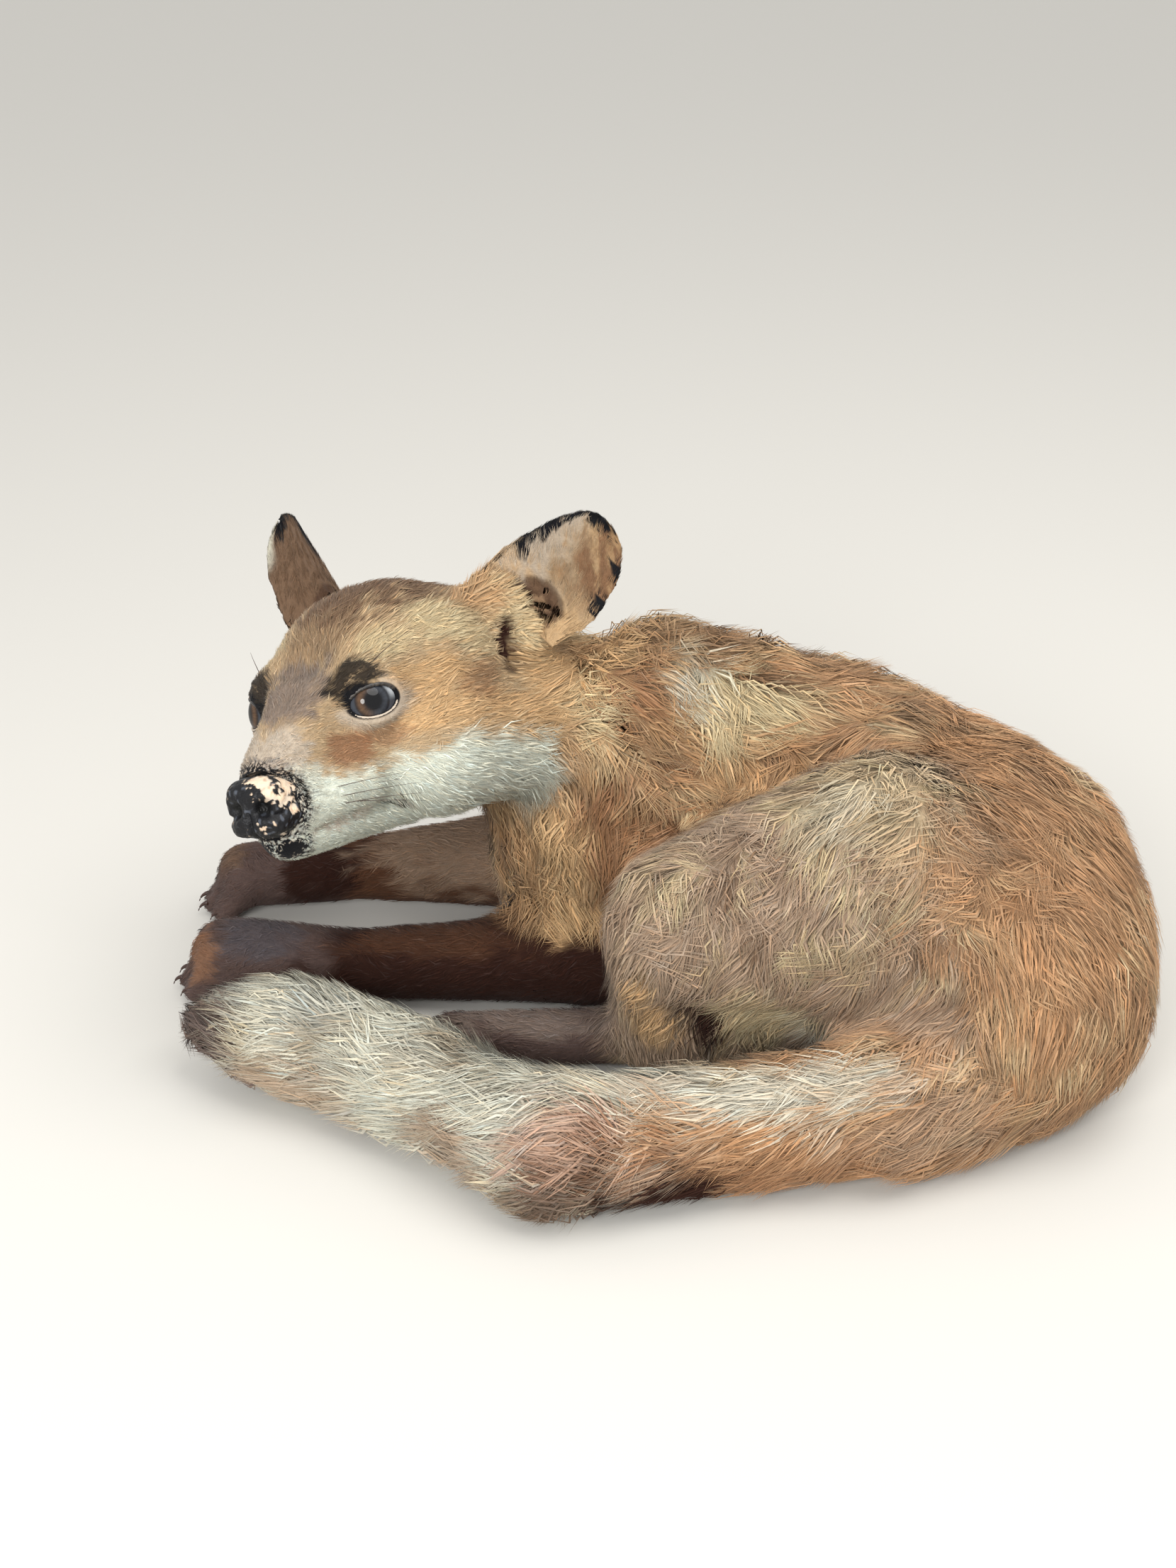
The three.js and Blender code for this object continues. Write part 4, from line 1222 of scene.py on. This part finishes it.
def coat_of(skin, name, share, rng):
    """A piece of coat: straight tufts below, and bent ones over them."""
    plan = COAT_PIECES[name]
    weight = skin.share_of(name)
    parts, colours, uv, facing = [], [], [], []
    for bent, full in ((False, plan.straight), (True, plan.bent)):
        if not full:
            continue
        roots = Roots(skin, weight, int(full * share), rng)
        tuft = grow(skin, roots, plan.lock, rng)
        stout = 1.0 if bent else STRAIGHT_WIDTH
        tuft = tuft._replace(width=tuft.width * stout / math.sqrt(share))
        parts.append(tuft_arrays(tuft, bent))
        colours.append(tuft_colours(skin, roots, bent, rng))
        uv.append(tuft_uv(skin, roots, bent))
        facing.append(np.repeat(tuft.normal, len(uv[-1]) // roots.count, axis=0))
    points, faces = together(parts)
    mesh = mesh_of(name, points, faces)
    own = read(mesh.vertex_normals, "vector", 3)
    mesh.normals_split_custom_set_from_vertices(unit(mix(own, np.concatenate(facing), SOFTNESS)))
    paint(mesh, np.concatenate(colours))
    write_uv(mesh, np.concatenate(uv)[faces.ravel()])
    return mesh


# ---------------------------------------------------------------- eyes

PUPIL, IRIS = 3.2, 7.0  # mm, radii
GAZE = unit(np.array([0.70, 0.71, 0.08]))  # where the pupil points, nearer the nose than the opening's axis
GLASS_PUPIL = (0.004, 0.004, 0.005)  # linear
LID_TUBE = 0.6  # mm, radius of the dark edge of the lids
LID_STEPS, LID_SIDES = 96, 12


def mirrored(places, side):
    """Places given for the left half, on the side wanted, in the frame's metres."""
    return HEAD_ORIGIN + places * (1, SIDES[side], 1) @ HEAD_AXES * MM


def eyeball(side, rng):
    """A glass eye: pupil, streaked iris and a pale outer corner."""
    centre = eye_frame()[0]
    across = unit(np.cross(GAZE, (0, 0, 1)))
    axes = np.stack([GAZE, across, np.cross(across, GAZE)])
    ball_points, triangles = globe(60, 72)
    bulge = 1 + 0.03 * ramp(0.8, 0.98, ball_points[:, 0])
    points = mirrored(centre + ball_points * bulge[:, None] * EYEBALL @ axes, side)
    from_pupil = EYEBALL * np.arccos(np.clip(ball_points[:, 0], -1, 1))
    turn = np.arctan2(ball_points[:, 2], ball_points[:, 1])
    streaks = sum(np.sin(turn * k + rng.uniform(0, 6)) for k in (9, 17, 31, 43)) / 4
    from_middle = (ball_points @ axes - GAZE * 0.96) @ np.cross(GAZE, (0, 0, 1)) * EYEBALL
    inner = ramp(-2, 5, from_middle)
    outer_top = ramp(0.5, 0.1, inner) * ramp(-0.1, 0.3, ball_points[:, 2])
    shade = mix(colour("slate") * 0.35, colour("sclera") * 0.8, outer_top[:, None])
    shade = mix(shade, colour("slate") * 0.5, ramp(IRIS + 3.5, IRIS, from_pupil)[:, None] * 0.8)
    iris = mix(colour("slate") * 0.3, colour("iris") * 0.8, inner[:, None])
    iris = iris * (1 + 0.35 * streaks[:, None])
    iris = mix(iris, colour("black"), ramp(PUPIL + 2.2, PUPIL, from_pupil)[:, None] * 0.8)
    shade = mix(shade, iris, ramp(IRIS + 0.5, IRIS - 0.1, from_pupil)[:, None])
    limbus = np.exp(-(((from_pupil - IRIS) / 0.7) ** 2))
    shade = mix(shade, colour("black"), limbus[:, None] * 0.8)
    shade = mix(shade, GLASS_PUPIL, ramp(PUPIL + 0.4, PUPIL - 0.1, from_pupil)[:, None])
    return coloured(f"eye_{side}_glass", points, triangles, shade)


def lid_edge(side, rng):
    """The dark edge that the lids close round the glass."""
    centre, axis, across, rise = eye_frame()
    turn = 2 * math.pi * np.arange(LID_STEPS) / LID_STEPS
    x, y = OPENING[0] * np.cos(turn), OPENING[1] * np.sin(turn)
    out = np.sqrt((EYEBALL + 0.7) ** 2 - x * x - y * y)
    line = centre + x[:, None] * across + y[:, None] * rise + out[:, None] * axis
    radius = LID_TUBE * (1 + 0.12 * rng.standard_normal(LID_STEPS))
    radius = radius * mix(1.35, 0.8, ramp(0.6, -0.6, np.sin(turn)))
    radial = unit(line - centre - axis * out[:, None])
    places = hoops(line, radius, radial, np.tile(axis, (LID_STEPS, 1)), LID_SIDES)
    triangles = halves(grid_faces(LID_STEPS, LID_SIDES, closed_rows=True, closed_columns=True))
    pale = ramp(0.1, -0.5, np.sin(turn)) * 0.75 + rng.uniform(0, 0.1, LID_STEPS)
    shade = mix(colour("black"), colour("sand"), np.repeat(pale, LID_SIDES)[:, None])
    return coloured(f"lids_{side}", mirrored(places, side), triangles, shade)


# ---------------------------------------------------------------- nose, whiskers and claws

NOSE_MORE = (0.6, 0.4, 0.4)  # mm added to the radii of the nose
NOSTRIL, NOSTRIL_RADIUS, NOSTRIL_DEPTH = (0.86, 0.47, 0.02), 0.26, 3.6
SLOT_DEPTH, PARTING_DEPTH = 1.4, 1.2  # mm
PAINT_THICKNESS = 0.45  # mm


WAVES = 9


def waves(p, seed, scale):
    """A smooth random value at places, with features of about the scale."""
    rng = np.random.default_rng(seed)
    total = np.zeros(len(p))
    for _ in range(WAVES):
        heading = unit(rng.standard_normal(3))
        total += np.sin(p @ (heading * rng.uniform(0.7, 1.6) * math.pi / scale) + rng.uniform(0, 6))
    return total / math.sqrt(WAVES / 2)


def nose_mesh():
    """A blocky nose with nostrils, thick paint that has flaked off the filler at its top and outer side."""
    directions, triangles = globe(130, 170)
    blocky = (np.abs(directions) ** 3.2).sum(1) ** (-1 / 3.2)
    q = folded(directions)
    ahead = q[:, 0]
    p = directions * blocky[:, None] * (NOSE_RADII + np.array(NOSE_MORE))
    swell = 0.5 * waves(p, 1, 7) + 0.3 * waves(p, 2, 3) + 0.12 * waves(p, 3, 1.2)
    nostril = np.exp(-((np.linalg.norm(q - NOSTRIL, axis=1) / NOSTRIL_RADIUS) ** 4))
    slot = np.exp(-(((q[:, 1] - 0.72) / 0.25) ** 2) - (((q[:, 2] + 0.22) / 0.1) ** 2))
    slot = slot * ramp(0.2, 0.5, ahead)
    parting = np.exp(-((q[:, 1] / 0.07) ** 2)) * ramp(0.1, -0.5, q[:, 2]) * ramp(0.2, 0.6, ahead)
    wear_and_shade = waves(p, 5, 4.2) + 0.6 * waves(p, 6, 1.9) + 0.35 * waves(p, 7, 0.9)
    top_side = directions @ unit(np.array([0.05, 0.75, 0.75]))
    flaked = wear_and_shade + mix(-2.0, 1.1, ramp(0.25, 0.95, top_side))
    bare = ramp(-0.05, 0.25, flaked)
    inward = NOSTRIL_DEPTH * nostril + SLOT_DEPTH * slot + PARTING_DEPTH * parting + PAINT_THICKNESS * bare
    p = p + directions * (swell * 0.5 - inward)[:, None]
    points = HEAD_ORIGIN + (NOSE_PLACE + p) @ HEAD_AXES * MM
    filler = mix(colour("peach"), colour("sand"), np.clip(0.5 + 0.4 * waves(p, 8, 2.5), 0, 1)[:, None])
    filler = mix(filler, colour("rust"), np.clip(waves(p, 9, 1.5) - 0.9, 0, 1)[:, None] * 0.5)
    dusty = np.clip(waves(p, 10, 1.4) - 1.1, 0, 1)[:, None] * 0.6
    shade = mix(colour("black") * 0.8, colour("slate"), dusty)
    shade = mix(shade, filler, bare[:, None])
    # Painted shade in the nostrils' dents.
    shade = shade * (1 - 0.85 * nostril[:, None])
    return coloured("nose", points, triangles, np.clip(shade, 0.003, 1))


# Root, heading and length of each, for the left half of the head in its millimetres.
WHISKERS = (
    ((32, 11.5, -32), (-0.75, 0.6, 0.08), 38),
    ((29, 13, -35), (-0.8, 0.6, 0.0), 42),
    ((26, 14, -38), (-0.75, 0.65, -0.08), 38),
    ((23, 14.5, -33), (-0.85, 0.5, 0.03), 34),
    ((20, 15.5, -37), (-0.8, 0.55, -0.05), 36),
    ((24, 14, -30), (-0.85, 0.5, 0.14), 28),
    ((-6, 27, 15), (-0.5, 0.6, 0.6), 20),
)
WHISKER_STEPS, WHISKER_SIDES, WHISKER_RADIUS = 10, 5, 0.2  # rings along a whisker, its sides, and mm
WHISKER_SAG = (-0.12, 0.02, -0.08)  # of its length


def whisker_mesh():
    """Stiff hairs on the lips and one over each eye."""
    rng = np.random.default_rng(31)
    t = np.linspace(0, 1, WHISKER_STEPS)[:, None]
    radii = WHISKER_RADIUS * mix(1, 0.25, t[:, 0]) * MM
    parts = []
    for side in SIDES:
        for root, heading, length in WHISKERS:
            heading = unit(np.array(heading) + 0.08 * rng.standard_normal(3))
            sag = np.array(WHISKER_SAG) * length * rng.uniform(0.6, 1.3)
            line = mirrored(root + t * heading * length + t**2 * sag, side)
            parts.append(tube(line, radii, WHISKER_SIDES))
    return coloured("whiskers", *together(parts), colour("dark"))


CLAW_LENGTH, CLAW_RADIUS = 5.2, 1.25  # mm
CLAW_HEIGHT, CLAW_DROP = 6.5, 4.2  # mm, of its root, and how far the tip lies below it
CLAW_STEPS, CLAW_SIDES, CLAW_LOWEST = 8, 8, 0.0005  # rings along a claw, its sides, and its lowest height


def claw_mesh(name):
    """Four dark claws before a paw's toes, bent towards the floor."""
    front, heading = np.array(PAWS[name])
    across = np.cross((0, 0, 1), heading)
    t = np.linspace(0, 1, CLAW_STEPS)[:, None]
    parts = []
    for k in (-1.5, -0.5, 0.5, 1.5):
        lead = 4 if abs(k) < 1 else -2
        root = front + across * k * TOE_SPREAD + heading * (TOE_REACH + lead + TOE_RADIUS * 0.45)
        root[2] = CLAW_HEIGHT
        line = root + heading * CLAW_LENGTH * np.sin(t * 1.1) - np.array([0, 0, 1]) * CLAW_DROP * t**2
        parts.append(tube(line * MM, CLAW_RADIUS * (1 - 0.88 * t[:, 0]) * MM, CLAW_SIDES))
    points, triangles = together(parts)
    points[:, 2] = np.maximum(points[:, 2], CLAW_LOWEST)
    return coloured(f"claws_{name}", points, triangles, colour("dark"))


# ---------------------------------------------------------------- finishes


def material(name, roughness, **sockets):
    """A material with its tree and its Principled shader."""
    made = bpy.data.materials.new(name)
    made.use_nodes = True
    tree = made.node_tree
    shader = tree.nodes["Principled BSDF"]
    shader.inputs["Roughness"].default_value = roughness
    for socket, value in sockets.items():
        shader.inputs[socket.replace("_", " ")].default_value = value
    return made, tree, shader


def node(tree, kind, links=(), **settings):
    """A node with its inputs: links are (input, output socket or value)."""
    made = tree.nodes.new(kind)
    for key, value in settings.items():
        setattr(made, key, value)
    for socket, source in links:
        if isinstance(source, bpy.types.NodeSocket):
            tree.links.new(source, made.inputs[socket])
        else:
            made.inputs[socket].default_value = source
    return made


FACTOR_SOCKET, TONE_SOCKET = 0, 6  # of a mix node's inputs, the factor and the first colour
STREAKS = {"From Min": 0.3, "From Max": 0.7, "To Min": 0.85, "To Max": 1.13}


def finish(name, roughness, noise, bump, streaked=False, **sockets):
    """A finish of the stored colour with a grain; noise and bump are the settings of those two nodes."""
    made, tree, shader = material(name, roughness, **sockets)
    tone = node(tree, "ShaderNodeAttribute", attribute_name=COLOUR_LAYER).outputs["Color"]
    place = node(tree, "ShaderNodeTexCoord").outputs["Object"]
    grain = node(tree, "ShaderNodeTexNoise", [("Vector", place), *noise.items()]).outputs["Fac"]
    if streaked:
        streaks = node(tree, "ShaderNodeMapRange", [("Value", grain), *STREAKS.items()]).outputs["Result"]
        inputs = [(FACTOR_SOCKET, 1.0), (TONE_SOCKET, tone), (TONE_SOCKET + 1, streaks)]
        product = node(tree, "ShaderNodeMix", inputs, data_type="RGBA", blend_type="MULTIPLY")
        tone = product.outputs[2]
    tree.links.new(tone, shader.inputs["Base Color"])
    rough = node(tree, "ShaderNodeBump", [("Height", grain), *bump.items()])
    tree.links.new(rough.outputs["Normal"], shader.inputs["Normal"])
    return made


def coat_finish(name, scale, bump):
    """Hair, with fine streaks."""
    noise = {"Scale": scale, "Detail": 5.0, "Roughness": 0.65}
    rise = {"Strength": bump, "Distance": 0.0012}
    dull = {"Specular_IOR_Level": 0.1, "Sheen_Weight": 0.05, "Sheen_Roughness": 0.5}
    return finish(name, 0.85, noise, rise, streaked=True, **dull)


def smooth_finish(name, roughness, bump, **sockets):
    """Glass, horn, lids or paint, with a fine grain."""
    noise = {"Scale": 1400.0, "Detail": 4.0}
    return finish(name, roughness, noise, {"Strength": bump, "Distance": 0.0004}, **sockets)


# ---------------------------------------------------------------- operators

WORKSHOP = {}  # what one operator makes for the next
SKIN_TONE = 0.92  # of the coat's colours, as the skin is in its shade


class FoxSkin(bpy.types.Operator):
    """Draws one skin over the flesh nodes"""

    bl_idname = "fox.skin"
    bl_label = "Skin"

    def execute(self, context):
        skin = Skin(context.scene.fox_coat)
        WORKSHOP["skin"] = skin
        mesh = mesh_of("skin", skin.surface.points, skin.surface.triangles)
        paint(mesh, skin.colour * SKIN_TONE)
        piece = shown(mesh, coat_finish("skin_finish", 900.0, 0.5))
        unwrap(piece)
        skin.uv = read(mesh.uv_layers[UV_MAP].data, "uv", 2).reshape(-1, 3, 2)
        settle(piece, "coat_russet", *FLESH, *EARS)
        return {"FINISHED"}


def unwrap(piece):
    """Unfolds the skin's own shape to the map that the finishes are baked through."""
    piece.data.uv_layers.new(name=UV_MAP)
    bpy.context.view_layer.objects.active = piece
    piece.select_set(True)
    bpy.ops.object.mode_set(mode="EDIT")
    bpy.ops.mesh.select_all(action="SELECT")
    bpy.ops.uv.smart_project(angle_limit=math.radians(70), island_margin=0.002)
    bpy.ops.object.mode_set(mode="OBJECT")
    piece.select_set(False)


class FoxCoatGrow(bpy.types.Operator):
    """Grows the coat on the skin, in pieces"""

    bl_idname = "fox.coat"
    bl_label = "Coat"

    def execute(self, context):
        settings = context.scene.fox_coat
        hair = coat_finish("coat_finish", 1500.0, 0.0)
        share = settings.share * 1
        for index, name in enumerate(COAT_PIECES):
            rng = np.random.default_rng(settings.seed + index)
            settle(shown(coat_of(WORKSHOP["skin"], name, share, rng), hair), "coat_russet")
        return {"FINISHED"}


class FoxEyes(bpy.types.Operator):
    """Sets the glass eyes and the edges of their lids"""

    bl_idname = "fox.eyes"
    bl_label = "Eyes"

    def execute(self, context):
        clear = {"Specular_IOR_Level": 0.0, "Coat_Weight": 0.5, "Coat_Roughness": 0.02}
        glass = smooth_finish("glass_finish", 0.3, 0.0, **clear)
        lids = smooth_finish("lid_finish", 0.4, 0.3)
        for side in SIDES:
            rng = np.random.default_rng(40 + SIDES[side])
            settle(shown(eyeball(side, rng), glass), "glass_eye", f"eye_{side}")
            settle(shown(lid_edge(side, rng), lids), "coat_dark")
        return {"FINISHED"}


class FoxNose(bpy.types.Operator):
    """Models the painted nose and sets the whiskers"""

    bl_idname = "fox.nose"
    bl_label = "Nose and whiskers"

    def execute(self, context):
        worn_paint = smooth_finish("nose_finish", 0.4, 0.8, Specular_IOR_Level=0.25)
        settle(shown(nose_mesh(), worn_paint), "painted_nose", "nose_pad")
        settle(shown(whisker_mesh(), smooth_finish("whisker_finish", 0.5, 0.0)), "coat_dark")
        return {"FINISHED"}


class FoxClaws(bpy.types.Operator):
    """Sets the claws in the paws"""

    bl_idname = "fox.claws"
    bl_label = "Claws"

    def execute(self, context):
        horn = smooth_finish("claw_finish", 0.35, 0.2)
        for name in PAWS:
            settle(shown(claw_mesh(name), horn), "coat_dark")
        return {"FINISHED"}


class FoxStageSet(bpy.types.Operator):
    """Sets the floor, the lights and the camera"""

    bl_idname = "fox.stage"
    bl_label = "Stage"

    def execute(self, context):
        stage = context.scene.fox_stage
        lay_floor(linear(stage.floor))
        hang_lights(stage)
        bpy.context.scene.camera = stand_camera()
        context.scene.view_settings.view_transform = "Standard"
        return {"FINISHED"}


FLOOR_HALF = 6.0
LAMP_TARGET = (0, 0, 0.08)


def lay_floor(tone):
    """A wide floor, which is not a piece of the fox."""
    corners = np.array([(-1, -1, 0), (1, -1, 0), (1, 1, 0), (-1, 1, 0)]) * FLOOR_HALF
    made, _, shader = material("floor_finish", 0.85, Specular_IOR_Level=0.1)
    shader.inputs["Base Color"].default_value = (*tone, 1)
    floor = shown(mesh_of("floor", corners, np.array([[0, 1, 2, 3]]), smooth=False), made)


def lamp(name, place, size, power, tone):
    """A round lamp that shines on the fox."""
    data = bpy.data.lights.new(name, "AREA")
    data.shape = "DISK"
    data.size = size
    data.energy = power
    data.color = tone
    placed(data, place, (Vector(LAMP_TARGET) - Vector(place)).to_track_quat("-Z", "Y").to_euler())


def hang_lights(stage):
    """A large lamp from above, a small one from the front and a light from all round."""
    lamp("key_light", (0.45, -0.3, 1.4), 1.1, stage.key, (1.0, 0.985, 0.95))
    lamp("fill_light", (-0.42, -1.18, 0.8), 0.5, stage.fill, (1.0, 1.0, 0.99))
    world = bpy.data.worlds.new("studio")
    world.use_nodes = True
    background = world.node_tree.nodes["Background"]
    background.inputs["Color"].default_value = (1.0, 1.0, 0.985, 1)
    background.inputs["Strength"].default_value = stage.sky
    bpy.context.scene.world = world


CAMERA_PLACE = (-0.0248, -0.7444, 0.520)
CAMERA_PITCH = math.radians(90 - 28.4)
SENSOR, LENS = 36.0, 47.2  # mm


def stand_camera():
    """A camera before the fox, looking down at it."""
    data = bpy.data.cameras.new("camera")
    data.sensor_fit = "VERTICAL"
    data.sensor_height = SENSOR
    data.lens = LENS
    data.clip_start = 0.01
    return placed(data, CAMERA_PLACE, (CAMERA_PITCH, 0, 0))


class FoxPanel(bpy.types.Panel):
    """Lists the fox's pieces"""

    bl_idname = "VIEW3D_PT_fox"
    bl_label = "Mounted red fox"
    bl_space_type = "VIEW_3D"
    bl_region_type = "UI"
    bl_category = "Fox"

    def draw(self, context):
        for operator in OPERATORS:
            self.layout.operator(operator.bl_idname)


GROUPS = {"fox_colours": FoxColours, "fox_coat": FoxCoat, "fox_stage": FoxStage}
OPERATORS = (FoxSkin, FoxCoatGrow, FoxEyes, FoxNose, FoxClaws, FoxStageSet)
CLASSES = (*GROUPS.values(), *OPERATORS, FoxPanel)


def register():
    for item in CLASSES:
        bpy.utils.register_class(item)
    for name, group in GROUPS.items():
        setattr(bpy.types.Scene, name, PointerProperty(type=group))


def unregister():
    for name in GROUPS:
        delattr(bpy.types.Scene, name)
    for item in reversed(CLASSES):
        bpy.utils.unregister_class(item)


def main():
    register()
    bpy.ops.fox.skin()
    bpy.ops.fox.coat()
    bpy.ops.fox.eyes()
    bpy.ops.fox.nose()
    bpy.ops.fox.claws()
    bpy.ops.fox.stage()


if __name__ == "__main__":
    main()
